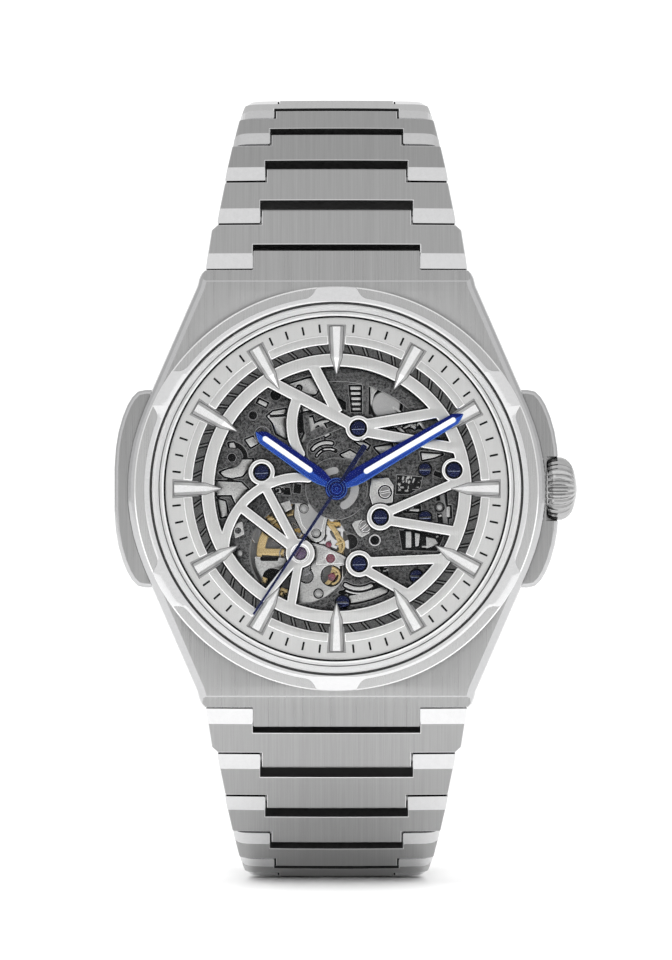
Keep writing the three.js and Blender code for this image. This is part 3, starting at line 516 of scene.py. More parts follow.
def flat_plate(field, box, low, high, bevel=0.06, step=0.06, tolerance=0.004, rounds=0):
    """A plate of the field's outline between two heights, with all its edges bevelled.
    Top and bottom faces get material 0 and the bevels and walls get material 1."""
    data = bpy.data.curves.new("outline", "CURVE")
    data.dimensions = "2D"
    data.fill_mode = "BOTH"
    data.extrude = (high - low) / 2 - bevel
    data.bevel_depth = bevel
    data.bevel_resolution = rounds
    for loop in contours(field, box, step, -bevel):
        points = simplified(loop, tolerance)
        if len(points) < 3:
            continue
        spline = data.splines.new("POLY")
        spline.points.add(len(points) - 1)
        flat = np.zeros((len(points), 4))
        flat[:, :2] = points
        flat[:, 3] = 1
        spline.points.foreach_set("co", flat.ravel())
        spline.use_cyclic_u = True
    holder = linked("outline", data)
    mesh = baked(holder)
    bpy.data.objects.remove(holder)
    bpy.data.curves.remove(data)
    mesh.materials.clear()
    mesh.transform(Matrix.Translation((0, 0, (high + low) / 2)))
    with editing(mesh) as bm:
        bmesh.ops.remove_doubles(bm, verts=bm.verts, dist=0.0005)
        for face in bm.faces:
            face.material_index = 0 if abs(face.normal.z) > 0.99 else 1
    return mesh


def plate_piece(name, materials, slot, *plate):
    """A flat plate on the case's body. A single material is for its faces and its edges."""
    both = materials if " " in materials else f"{materials} {materials}"
    piece(name, flat_plate(*plate), both)


def sliced(mesh, point, normal, fill_index=0):
    """Removes what lies beyond a plane and closes the cut."""
    with editing(mesh) as bm:
        cut = split_at(bm, point, normal, clear_outer=True)
        edges = [g for g in cut["geom_cut"] if isinstance(g, bmesh.types.BMEdge)]
        new = bmesh.ops.triangle_fill(bm, edges=edges, use_beauty=True)
        for g in new["geom"]:
            if isinstance(g, bmesh.types.BMFace):
                g.material_index = fill_index
        face_outward(bm)
    return mesh


def boolean(mesh, tool, operation="DIFFERENCE"):
    """The exact boolean of two closed meshes: by default the mesh without the tool."""
    a, b = linked("a", mesh), linked("b", tool)
    mod = a.modifiers.new("cut", "BOOLEAN")
    mod.object = b
    mod.operation = operation
    mod.solver = "EXACT"
    out = baked(a)
    bpy.data.objects.remove(a)
    bpy.data.objects.remove(b)
    return out


def block(x0, y0, z0, x1, y1, z1):
    corners = [(x, y, z) for z in (z0, z1) for x, y in ((x0, y0), (x1, y0), (x1, y1), (x0, y1))]
    faces = [(3, 2, 1, 0), (4, 5, 6, 7), (0, 1, 5, 4), (1, 2, 6, 5), (2, 3, 7, 6), (3, 0, 4, 7)]
    return mesh_from(corners, faces)


def prism(points, low, high):
    """A straight prism of a convex or simple polygon."""
    n = len(points)
    verts = [(*p, low) for p in points] + [(*p, high) for p in points]
    faces = [tuple(reversed(range(n))), tuple(range(n, 2 * n))]
    faces += [(i, (i + 1) % n, (i + 1) % n + n, i + n) for i in range(n)]
    return mesh_from(verts, faces)


def bevelled(obj, width, angle=35):
    mod = obj.modifiers.new("edge", "BEVEL")
    mod.width = width
    mod.segments = 2
    mod.limit_method = "ANGLE"
    mod.angle_limit = rad(angle)
    mod.harden_normals = False


def near(x, y, r):
    """The square box of half width r at (x, y)."""
    return (x - r, y - r, x + r, y + r)


def around(r):
    """The box of a round part at the dial's middle, with room to spare."""
    return near(0, 0, r + 0.3)


# ------------------------------------------------------------------ fixed sizes, matching the CAD
CASE_LOW, CASE_TOP = 1.55, 8.4
FLAT_END, LUG_END = 19.56, 22.45  # where the case's flat top and the lug tongue end, towards 12
BEZEL_IN, BEZEL_OUT, BEZEL_TOP = 17.54, 19.0, 10.35
CRYSTAL_TOP = 10.9
DIAL_LOW, DIAL_TOP = 7.4, 7.85
DIAL_RING = 12.76  # outer radius of the dial's skeleton ring
PLATE_LOW, PLATE_TOP = 5.6, 6.6
RIM_TOP = 7.3
STEM = 4.55  # height of the crown's axis
BALANCE = (-3.43, -6.1)
HALF_TURN = Matrix.Rotation(math.pi, 4, "Z")


def mirrored_outline(quarter):
    loop = quarter + [(-x, y) for x, y in reversed(quarter)]
    loop += [(-x, -y) for x, y in quarter[1:]] + [(x, -y) for x, y in reversed(quarter[1:])]
    return loop


# ------------------------------------------------------------------ case
def smooth_case_outline():
    """The whole outline, with each flank drawn as a curve through its corner points."""
    flank = [(19.75, 0), (19.7, 1.4), (19.52, 2.9), (19.2, 4.5), (18.75, 6.0), (18.15, 7.6), (17.4, 9.3)]
    return mirrored_outline(flank + [(13.12, 19.1), (12.95, 19.8), (12.7, 20.35), (12.3, 20.62)])


def crown_notch(mesh):
    """Room for the crown: open above its axis, rounded to its shape below."""
    bore = lathe([(0, 0), (3.05, 0), (3.05, 5), (0, 5)], 72)
    bore.transform(Matrix.Translation((19.8, 0, STEM)) @ Matrix.Rotation(math.pi / 2, 4, "Y"))
    return boolean(boolean(mesh, block(19.8, -3.05, STEM, 24, 3.05, 12)), bore)


def case_body():
    field = s_cut(s_poly(smooth_case_outline()), s_disc(0, 0, 17.5))
    body = flat_plate(field, near(0, 0, 22), CASE_LOW, CASE_TOP, 0.75, 0.08, 0.004, 2)
    for side in (1, -1):
        body = sliced(body, (0, side * FLAT_END, CASE_TOP), (0, side * 1.6, 2.89))
        body = sliced(body, (0, side * 19.5, CASE_TOP), (0, side * 0.8, 3.0), 1)
        near_y, far_y = sorted((side * 20.0, side * 25))
        body = boolean(body, block(-30, near_y, 0, 30, far_y, 6.55))
    return piece("case_body", crown_notch(body), "case flank")


def lug_tongue(side):
    half, start = 7.86, 19.9
    field = s_poly([(-half, start), (half, start), (half, LUG_END), (-half, LUG_END)])
    mesh = flat_plate(field, (-9, 19, 9, 23), 3.6, CASE_TOP, 0.08, 0.05)
    mesh = sliced(mesh, (0, FLAT_END, CASE_TOP - 0.004), (0, 1.6, 2.89))
    mesh = sliced(mesh, (0, LUG_END, 4.5), (0, 1, -0.8))
    if side < 0:
        mesh.transform(HALF_TURN)
    piece("case_lug_tongue_12" if side > 0 else "case_lug_tongue_6", mesh, "case polish")


def case_wing(side):
    half = [(18.0, 9.35), (18.75, 9.2), (19.3, 8.65), (19.75, 7.9), (20.2, 6.8), (20.6, 5.4), (20.85, 3.9),
        (20.98, 2.0)]
    loop = [(16.9, 9.35)] + half + [(x, -y) for x, y in reversed(half)] + [(16.9, -9.35)]
    mesh = flat_plate(s_poly(loop), (16, -10.5, 22, 10.5), 2.2, 6.9, 0.38, 0.06, 0.004, 2)
    if side > 0:
        mesh = crown_notch(mesh)
    else:
        mesh.transform(HALF_TURN)
    piece("case_flank_right" if side > 0 else "case_flank_left", mesh, "wing flank")


def bezel_pieces():
    base = lathe([(BEZEL_IN, 8.1), (18.95, 8.1), (BEZEL_OUT, 8.2), (BEZEL_OUT, 9.62), (18.9, 9.74),
        (18.1, 9.86), (BEZEL_IN, 9.86)], ROUND)
    ring = piece("bezel_band", base, "bezel")
    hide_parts("bezel")
    line = lathe([(18.9, 9.6), (19.02, 9.55), (19.02, 9.65), (18.95, 9.74), (18.9, 9.77)], ROUND)
    piece("bezel_edge_line", line, "dial_edge")
    tabs = [s_bar(pol(17.4, 30 + 60 * i), pol(18.98, 30 + 60 * i), 5.4, 3.6) for i in range(6)]
    field = s_both(s_union(s_ring(0, 0, 18.08, BEZEL_IN), *tabs, blend=0.5), s_ring(0, 0, 18.98, BEZEL_IN))
    plate_piece("bezel_tabs", "polish", "brushed_case", field, around(19), 9.7, BEZEL_TOP, 0.07, 0.05, 0.003,
        1)


def crystal_pieces():
    body = lathe([(0, 9.4), (17.38, 9.4), (17.38, CRYSTAL_TOP - 0.3), (17.1, CRYSTAL_TOP), (0, CRYSTAL_TOP)],
        ROUND)
    glass = piece("crystal_disc", body, "glass", smooth=20)
    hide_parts("crystal")
    gasket = lathe([(17.4, 9.0), (17.53, 9.0), (17.53, BEZEL_TOP - 0.02), (17.4, BEZEL_TOP - 0.02)], ROUND)
    seal = piece("crystal_seal", gasket, "rubber")
    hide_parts("crystal_gasket")
    flange = lathe([(16.24, 7.95), (17.35, 8.05), (17.35, 9.3), (17.12, 9.3), (17.02, 9.2), (16.45, 8.2),
        (16.24, 8.12)], ROUND)
    step = lathe([(16.66, 8.4), (16.76, 8.4), (16.8, 8.72), (16.72, 8.76), (16.66, 8.66)], ROUND)
    piece("rehaut_step", step, "grey")
    # a black ring between the dial and the flange: painted shade in the gap there
    gap = lathe([(16.12, 7.68), (16.3, 7.68), (16.3, 8.14), (16.12, 8.14)], ROUND)
    piece("rehaut_gap_shade", gap, "ink")
    ring = piece("rehaut_ring", flange, "flange")
    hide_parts("inner_flange")


# ------------------------------------------------------------------ dial
BOSSES = {
    "top": (2.05, 5.7, 1.22), "left": (-7.05, 1.55, 1.25), "right": (11.05, 1.75, 1.15),
    "centre": (4.12, -2.67, 1.28), "bottom": (2.13, -7.07, 1.28), "balance": (-3.43, -6.1, 1.38),
}
SPOKES = [
    ((2.05, 5.7), (-6.3, 10.1), 1.15), ((0.1, 7.1), (-2.35, 11.9), 1.1),
    ((2.6, 6.0), (10.2, 7.3), 1.1), ((2.6, 5.4), (11.6, 3.75), 1.05),
    ((4.12, -2.5), (11.7, 0.78), 0.92), ((4.12, -2.85), (11.6, -4.1), 0.98),
    ((2.13, -6.95), (9.95, -6.6), 0.95), ((2.13, -7.3), (7.0, -10.1), 0.95),
    ((-3.43, -6.1), (-6.75, 0.2), 0.92), ((-3.43, -6.1), (-9.1, -1.7), 0.92),
    ((-3.43, -6.1), (-7.25, -10.8), 0.9), ((-3.43, -6.1), (-4.4, -11.6), 0.9),
]


def index_points(hour):
    """Places points of an index, given along its radius, across it and in height."""
    c, s = math.cos(rad(30 * hour)), math.sin(rad(30 * hour))
    return lambda along, across, h: (along * c - across * s, along * s + across * c, h)


def index_mesh(hour):
    """An applied index: a faceted baton with a raised ridge and a spear tip towards the middle."""
    at = index_points(hour)
    base, top, edge = DIAL_TOP, DIAL_TOP + 0.5, DIAL_TOP + 0.16
    rows = [(15.28, 0.62, 0.36), (12.35, 0.5, 0.24)]
    verts, faces = [], []
    for along, half, ridge in rows:
        verts += [at(along, -half, base), at(along, -half, edge), at(along, -ridge, top)]
        verts += [at(along, ridge, top), at(along, half, edge), at(along, half, base)]
    verts += [at(10.86, 0, base), at(10.86, 0, edge)]
    faces += [(i, i + 1, i + 7, i + 6) for i in range(5)] + [(5, 0, 6, 11)]
    faces += [(0, 5, 4, 3, 2, 1), (6, 7, 13, 12), (7, 8, 13), (8, 9, 13), (9, 10, 13), (10, 11, 12, 13),
        (11, 6, 12)]
    mesh = mesh_from(verts, faces)
    for k in (0, 1, 3, 4, 8, 10):
        mesh.polygons[k].material_index = 1
    with editing(mesh) as bm:
        bmesh.ops.remove_doubles(bm, verts=bm.verts, dist=1e-4)
        face_outward(bm)
    return mesh


def dial_pieces():
    pockets = [s_bar(pol(13.0, 30 * i), pol(15.42, 30 * i), 1.35, 1.72) for i in range(12)]
    base = lathe([(14.35, DIAL_LOW), (16.22, DIAL_LOW), (16.22, 7.52), (14.35, 7.52)], ROUND)
    field = s_cut(s_ring(0, 0, 16.2, 14.4), *pockets)
    outer = flat_plate(field, around(16.3), 7.5, 7.7, 0.04, 0.05, 0.003)
    field = s_cut(s_ring(0, 0, 14.5, 13.58), *pockets)
    step = flat_plate(field, around(14.6), 7.4, DIAL_TOP, 0.12, 0.05, 0.003, 1)
    marks = [s_bar(pol(14.76, 6 * i), pol(15.56, 6 * i), 0.19) for i in range(60) if i % 5]
    minutes = flat_plate(s_union(*marks), around(15.7), 7.695, 7.73, 0.005, 0.03, 0.003)
    plate = piece("dial_outer_ring", outer, "dial dial_edge")
    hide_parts("dial")
    piece("dial_ring_base", base, "satin")
    piece("dial_step_ring", step, "dial_light dial_edge")
    piece("dial_minute_track", minutes, "ink ink")

    parts = [s_ring(0, 0, DIAL_RING, 11.5)] + [s_bar(*spoke) for spoke in SPOKES]
    parts += [s_disc(x, y, r) for x, y, r in BOSSES.values()]
    parts += [
        s_arc(-3.43, -6.1, 7.17, 0.95, 84, 194),
        s_arc(1.57, 6.07, 5.78, 1.05, 159, 209),
        s_bar((-7.05, 1.55), (-6.4, 0.2), 0.95),
    ]
    # the last hole keeps the hour hand's wheel clear
    holes = [s_disc(x, y, 0.8) for x, y, r in BOSSES.values()] + [s_disc(0, 0, 1.35)]
    field = s_both(s_cut(s_union(*parts, blend=0.16), *holes), s_disc(0, 0, DIAL_RING))
    inner = flat_plate(field, around(12.8), DIAL_LOW, DIAL_TOP, 0.13, 0.045, 0.003, 1)
    # a black plate a little larger than the skeleton, just under it: painted shade that outlines every
    # skeleton edge
    plate_piece("dial_painted_shade_outline", "ink", "dial_silver", s_both(s_grow(field, 0.1), s_ring(0, 0, 12.86, 1.4)),
        around(13), 7.22, 7.42, 0.02, 0.06)
    piece("dial_skeleton", inner, "dial_light dial_edge")
    piece("dial_indices", merged([index_mesh(i) for i in range(12)]), "dial_edge facet",
        smooth=0)
    seats, pads = [], []
    for i in range(12):
        at = index_points(i)
        corners = ((15.28, -0.64), (15.28, 0.64), (12.35, 0.52), (10.86, 0), (12.35, -0.52))
        shape = s_poly([at(a, b, 0)[:2] for a, b in corners])
        box = near(*pol(13.2, 30 * i), 3)
        seats.append(flat_plate(s_grow(shape, 0.075), box, 7.45, DIAL_TOP + 0.01, 0.02, 0.05, 0.003))
        pads.append(flat_plate(s_bar(pol(13.0, 30 * i), pol(15.44, 30 * i), 1.4, 1.8), box, 7.4, 7.73, 0.03,
            0.06))
    piece("dial_index_shadow_seats", merged(seats), "grey grey")
    piece("dial_index_pads", merged(pads), "satin satin")


def screw_mesh(x, y, h, r, turn, depth=0.35):
    """Slotted screw head: a chamfered disc with a real slot across it."""
    field = s_cut(s_disc(x, y, r), s_bar(pol(-2 * r, turn, x, y), pol(2 * r, turn, x, y), r * 0.24))
    head = flat_plate(field, near(x, y, r + 0.2), h - depth, h, 0.05, 0.03, 0.002, 1)
    floor = lathe([(0, h - depth), (r * 0.97, h - depth), (r * 0.97, h - 0.14), (0, h - 0.14)], 24, x, y)
    return merged([head, floor])


def slot_highlight(x, y, h, r, turn):
    """A painted highlight: a light strip along the lower edge of a screw slot."""
    side = pol(r * 0.15, turn - 90, x, y)
    field = s_bar(pol(-r * 0.9, turn, *side), pol(r * 0.9, turn, *side), 0.055)
    return flat_plate(field, near(x, y, r + 0.2), h - 0.05, h + 0.012, 0.005, 0.02, 0.002)


def ring_mesh(x, y, outer, inner, low, high, sides=40, bevel=0.05):
    return lathe([(inner, low), (outer, low), (outer, high - bevel), (outer - bevel, high),
        (inner + bevel, high), (inner, high - bevel)], sides, x, y)


def button_mesh(x, y, r, low, high, sides=24):
    """A short pin with a rounded top."""
    dome = [(r * math.cos(rad(a)), high - 0.35 * r + 0.35 * r * math.sin(rad(a))) for a in (0, 30, 60, 90)]
    return lathe([(0, low), (r, low)] + dome[:-1] + [(0, high)], sides, x, y)


def dial_screws():
    turns = {"top": 2, "left": 3, "right": 0, "centre": 0, "bottom": 2}
    screws = [(*BOSSES[n][:2], 7.72, 0.66, turn) for n, turn in turns.items()]
    heads = [screw_mesh(*screw, 0.5) for screw in screws]
    piece("dial_screws", merged(heads), "navy navy")
    lines = [slot_highlight(*screw) for screw in screws]
    piece("dial_screw_slot_highlights", merged(lines), "navy_line navy_line")
    # black rings round the dial screws' heads: painted shade in the gap round each head
    seat_shade_rings = [ring_mesh(x, y, 0.83, 0.67, 7.1, 7.4, 40, 0.03) for x, y, r in BOSSES.values()]
    piece("dial_screw_shade_rings", merged(seat_shade_rings), "ink")
    stone = button_mesh(*BALANCE, 0.62, 6.9, 7.6, 40)
    piece("balance_cap_jewel", stone, "plum")
    cup = ring_mesh(*BALANCE, 0.8, 0.64, 6.9, 7.66, 40)
    piece("balance_jewel_setting", cup, "dial_edge")


# ------------------------------------------------------------------ hands
HAND_BOX = (-6, -2, 15, 2)
RIDGE = 0.16  # slope of a hand's upper faces


def hand_mesh(outline, low, high, hub, bore, slot_field):
    """An hour or minute hand pointing along +x, with a ridge down its middle."""
    field = s_cut(s_union(s_poly(outline), s_disc(0, 0, hub), blend=0.05), s_disc(0, 0, bore), slot_field)
    mesh = flat_plate(field, HAND_BOX, low, high, 0.06, 0.03, 0.002, 1)
    with editing(mesh) as bm:
        split_at(bm, (0, 0, 0), (0, 1, 0))
        for v in bm.verts:
            if v.co.z > (low + high) / 2 and v.co.x > 1.2:
                v.co.z += RIDGE * (0.7 - abs(v.co.y))
    return mesh


def baton(length, wide, narrow, neck=0.4):
    """Half widths along a hand: neck at the hub, widest just past it, then a slow taper to the point."""
    half = [(0.7, neck), (1.8, wide * 0.9), (2.6, wide), (length - 0.95, narrow),
        (length - 0.5, narrow * 0.62)]
    return [(x, -y) for x, y in half] + [(length, 0)] + [(x, y) for x, y in reversed(half)]


def hands():
    hour, minute, second = 90 - 305, 90 - 59.5, 90 - 213.5  # 90 less the clockwise angle from 12
    specs = [
        ("hour", hour, 9.35, 0.78, 0.66, 8.12, 1.08, 0.84, (3.05, 8.2), "hour_wheel"),
        ("minute", minute, 13.9, 0.8, 0.55, 8.55, 1.0, 0.5, (3.25, 12.75), "center_wheel"),
    ]
    for name, angle, length, wide, narrow, low, hub, bore, lume, body in specs:
        start, end, turn = (lume[0], 0), (lume[1], 0), Matrix.Rotation(rad(angle), 4, "Z")
        mesh = hand_mesh(baton(length, wide, narrow), low, low + 0.18, hub, bore,
            s_bar(start, end, 0.5, 0.5, True))
        mesh.transform(turn)
        obj = piece(f"{name}_hand_blade", mesh, "blue blue_edge blue_deep", body, smooth=0)
        # the half of the blade towards 12 takes the darker blue: painted shade on that facet
        upper = Vector(pol(1, angle + (90 if -90 < angle < 90 else -90)) + (0,))
        for face in obj.data.polygons:
            if face.center.dot(upper) > 0.03 and face.center.z > low + 0.1:
                face.material_index = 2
        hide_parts(f"{name}_hand")
        fill = flat_plate(s_bar(start, end, 0.49, 0.49, True), (0, -1, 15, 1), low + 0.02, low + 0.2, 0.03,
            0.03, 0.002, 1)
        fill.transform(turn)
        piece(f"{name}_hand_lume", fill, "lume lume", body=body, smooth=30)
    needle = s_union(s_bar((-4.9, 0), (-0.4, 0), 0.5, 0.3), s_bar((0, 0), (14.2, 0), 0.3, 0.2),
        s_disc(0, 0, 0.72), blend=0.2)
    mesh = flat_plate(needle, HAND_BOX, 8.95, 9.07, 0.035, 0.03, 0.002, 1)
    mesh.transform(Matrix.Rotation(rad(second), 4, "Z"))
    obj = piece("seconds_hand_blade", mesh, "navy blue_deep", "fourth_wheel", smooth=30)
    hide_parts("seconds_hand")
    cap = lathe([(0, 9.05), (0.62, 9.05), (0.6, 9.11), (0.42, 9.13), (0.4, 9.2), (0.2, 9.23), (0, 9.23)], 48)
    piece("seconds_hand_cap", cap, "blue_deep", "fourth_wheel")
    rings = [ring_mesh(0, 0, 0.16, 0.08, 9.2, 9.27), ring_mesh(0, 0, 0.47, 0.37, 9.1, 9.2),
        ring_mesh(0, 0, 0.76, 0.66, 9.0, 9.1)]
    piece("seconds_hand_rings", merged(rings), "blue_edge", "fourth_wheel")
    boss = lathe([(0.5, 8.7), (0.98, 8.7), (0.95, 8.8), (0.78, 8.8), (0.76, 8.86), (0.5, 8.86)], 48)
    piece("minute_hand_boss", boss, "blue_deep", "center_wheel")
    piece("minute_hand_ring", ring_mesh(0, 0, 0.99, 0.88, 8.7, 8.84), "blue_edge",
        "center_wheel")
    boss = lathe([(0.82, 8.28), (1.08, 8.2), (1.06, 8.34), (1.0, 8.36), (0.98, 8.42), (0.82, 8.42)], 48)
    piece("hour_hand_boss", boss, "blue_deep", "hour_wheel")


# ------------------------------------------------------------------ movement, seen through the dial
def holder_ring():
    """Movement rim under the dial, with slanted pairs of dark cuts and a bright line between them."""
    body = lathe([(12.5, 6.9), (13.85, 6.9), (13.85, RIM_TOP), (12.5, RIM_TOP)], 160)
    piece("movement_rim", body, "rim")
    dark = [s_bar(pol(12.55, 6 * i + a - 1.7), pol(13.8, 6 * i + a + 1.7), 0.15) for i in range(60)
        for a in (-0.85, 0.55)]
    plate_piece("movement_rim_cuts", "ink", "plate_grey", s_union(*dark), around(13.8), 7.29, 7.33, 0.008,
        0.03, 0.003)
    lines = [s_bar(pol(12.55, a - 1.85), pol(13.8, a + 1.55), 0.1) for a in range(0, 360, 6)]
    plate_piece("movement_rim_edges", "grey", "bridge_grey", s_union(*lines), around(13.8), 7.29, 7.34, 0.008,
        0.03, 0.003)


# silver levers, springs and bridges that lie in the openings of the main plate
SILVER = [
    s_cut(s_poly([(-4.9, 9.75), (-2.4, 10.5), (-1.3, 9.75), (-2.0, 8.9), (-3.0, 8.75)]),
        s_disc(-3.53, 9.5, 0.32)),
    s_cut(s_poly([(-6.55, 6.85), (-6.0, 7.3), (-4.8, 7.5), (-4.7, 5.8), (-4.75, 4.7), (-5.7, 5.2),
        (-6.0, 6.2)]),
          s_bar((-6.3, 6.85), (-4.6, 6.95), 0.26)),
    s_bar((-2.63, 6.7), (-2.1, 4.7), 0.72), s_bar((-1.5, 6.2), (-0.85, 5.0), 0.5),
    s_arc(-0.9, 2.6, 1.75, 0.26, 75, 140), s_arc(-0.75, 2.45, 1.3, 0.12, 60, 150),
    s_poly([(-11.0, 1.55), (-9.9, 1.95), (-8.9, 2.75), (-7.9, 2.75), (-8.1, 2.1), (-8.9, 1.2), (-9.9, 1.0),
        (-10.6, 1.15)]),
    s_poly([(-10.2, 4.3), (-9.7, 4.35), (-9.5, 3.9), (-10.0, 3.6)]),
    s_poly([(-11.2, -1.0), (-10.5, -1.2), (-10.2, -2.6), (-10.9, -2.7)]),
    s_poly([(3.15, 9.9), (4.0, 9.5), (3.55, 8.9), (3.35, 8.2), (3.2, 7.4)]),
    s_poly([(6.9, 8.0), (7.5, 8.1), (7.1, 7.5)]),
    s_poly([(5.0, 6.1), (5.9, 6.15), (5.7, 5.75), (5.1, 5.8)]), s_bar((6.3, 5.7), (7.2, 6.2), 0.25),
    s_poly([(7.6, 6.3), (8.9, 6.5), (8.8, 6.0), (8.2, 5.6), (7.9, 6.0)]),
    s_poly([(8.0, 3.4), (10.0, 3.25), (9.2, 2.95), (8.1, 2.72)]),
    s_poly([(0.4, 3.2), (1.26, 3.6), (2.1, 3.1), (1.7, 2.4), (0.8, 2.8)]),
    s_poly([(1.6, -2.9), (2.7, -2.6), (3.0, -3.4), (2.4, -4.3), (1.9, -3.9)]), s_bar((6.8, -4.0), (6.8, -5.6),
        0.52),
    s_poly([(7.4, -4.15), (7.9, -4.2), (7.75, -5.4), (7.45, -5.5)]),
    s_poly([(8.45, -4.5), (9.3, -4.7), (9.6, -5.2), (8.5, -5.7)]),
    s_bar((6.55, -1.0), (6.55, -2.1), 0.22), s_bar((6.9, -1.95), (7.8, -2.05), 0.32),
    s_bar((7.2, -1.0), (7.2, -1.9), 0.15),
    s_bar((10.55, -1.7), (10.6, -2.7), 0.35), s_arc(2.1, -7.1, 2.35, 0.34, 238, 300),
    s_arc(2.1, -7.1, 2.8, 0.16, 245, 295),
    s_arc(0, 0, 10.55, 0.75, -82, -65), s_arc(0, 0, 9.35, 0.3, 38, 62), s_arc(0, 0, 8.2, 0.35, 30, 44),
    s_poly([(6.2, 6.9), (7.0, 7.1), (7.3, 6.6), (6.4, 6.5)]),
    s_poly([(-3.4, 8.3), (-2.4, 8.4), (-2.2, 7.5), (-3.2, 7.3)]),
    s_arc(-0.3, 3.4, 3.1, 0.3, 100, 160), s_bar((1.9, 4.6), (3.0, 3.9), 0.4),
    s_poly([(3.6, 3.9), (5.2, 4.2), (5.4, 3.5), (4.2, 3.2)]),
    s_poly([(-11.6, 0.7), (-9.0, 0.6), (-8.4, 0.0), (-9.4, -1.7), (-9.9, -0.6), (-11.3, -0.6)]),
    s_bar((-7.4, 8.3), (-6.6, 7.9), 0.35),
    s_poly([(-8.6, 4.6), (-7.9, 4.9), (-7.4, 4.3), (-8.1, 3.9)]), s_bar((1.3, 9.5), (2.3, 9.5), 0.3),
    s_bar((1.35, 9.0), (2.3, 9.0), 0.25),
    s_bar((1.4, 8.5), (2.3, 8.5), 0.25), s_bar((1.45, 8.0), (2.3, 8.0), 0.25),
    s_bar((1.5, 7.5), (2.3, 7.5), 0.25),
]


def main_plate():
    """Dark grained plate with its openings; silver pieces sit recessed in them."""
    windows = [s_grow(field, 0.16) for field in SILVER]
    windows += [
        s_disc(4.67, 7.9, 1.62), s_poly([(3.0, 10.1), (4.4, 9.7), (4.0, 6.9), (3.0, 7.0)]),
        s_disc(-7.9, 6.92, 0.44),
        s_disc(-9.89, 2.93, 0.4), s_disc(-5.75, 8.85, 0.52), s_arc(-9.9, 2.9, 1.3, 0.45, 8, 78),
        s_disc(*BALANCE, 4.7),
        s_poly([(1.1, 9.8), (2.4, 9.8), (2.4, 7.2), (1.4, 7.2)]), s_arc(0, 0, 8.6, 0.5, 56, 66),
        s_arc(0, 0, 9.6, 0.3, 100, 118),
        s_poly([(-0.6, 8.9), (0.9, 8.2), (0.9, 7.4), (-0.9, 8.0)]),
        s_poly([(-4.1, 6.6), (-3.2, 7.4), (-3.1, 5.4), (-3.8, 5.0)]),
        s_bar((9.2, 1.5), (10.0, 1.2), 0.5),
        s_poly([(5.7, 1.3), (8.1, 1.1), (7.9, 0.1), (6.9, -0.5), (5.6, -0.5)]),
        s_poly([(6.2, -0.8), (7.9, -0.8), (8.0, -2.3), (6.3, -2.3)]), s_bar((9.9, -0.2), (10.1, -3.5), 1.1),
        s_poly([(5.9, -3.9), (10.2, -4.3), (9.5, -5.9), (6.2, -5.8)]), s_disc(3.62, -4.87, 0.42),
        s_poly([(3.9, -6.9), (4.8, -6.7), (4.9, -8.2), (4.3, -8.3)]), s_bar((4.4, 5.85), (9.0, 6.0), 0.45,
            0.9),
        s_arc(0, 0, 9.8, 0.4, -88, -60), s_disc(-0.4, -3.0, 0.8), s_disc(1.3, -5.0, 0.7),
        s_arc(0, 0, 1.75, 0.7, -62, 8),
        s_poly([(-6.0, 0.2), (-4.4, 0.1), (-4.3, -0.6), (-5.8, -0.5)]),
        s_poly([(-4.0, 0.5), (-3.3, 0.4), (-3.4, -0.5), (-4.1, -0.4)]),
    ]
    field = s_cut(s_disc(0, 0, 12.7), s_disc(0, 0, 0.95), *windows)
    plate = flat_plate(field, around(12.8), PLATE_LOW + 0.02, PLATE_TOP, 0.05, 0.05, 0.004, 1)
    obj = piece("main_plate_top", plate, "plate plate_edge")
    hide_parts("main_plate")
    rims = [(-7.9, 6.92, 0.5, 0.4), (-9.89, 2.93, 0.5, 0.4), (3.62, -4.87, 0.6, 0.42), (-7.0, 5.1, 0.8, 0.72)]
    piece("plate_hole_rims", merged([ring_mesh(x, y, a, b, 6.4, 6.66) for x, y, a, b in rims]), "polish")
    bosses = [ring_mesh(-9.89, 2.93, 0.95, 0.51, 6.4, 6.68), ring_mesh(3.62, -4.87, 1.15, 0.61, 6.4, 6.68)]
    piece("plate_bosses", merged(bosses), "plate")
    centre = s_union(s_ring(0, 0, 2.95, 2.12), s_arc(-0.9, 3.6, 2.1, 0.5, 100, 230),
        s_bar((-2.6, 4.6), (-2.9, 6.9), 0.6), s_bar((-2.4, 4.8), (0.5, 6.0), 0.55),
        s_bar((2.72, 6.6), (2.72, 10.4), 0.6), s_arc(0, 0, 10.75, 1.3, 35, 96), blend=0.2)
    plate_piece("plate_raised_frame", "plate plate_edge", "plate_grey", centre, around(12.6), PLATE_TOP - 0.1,
        6.95, 0.06, 0.045, 0.004, 1)


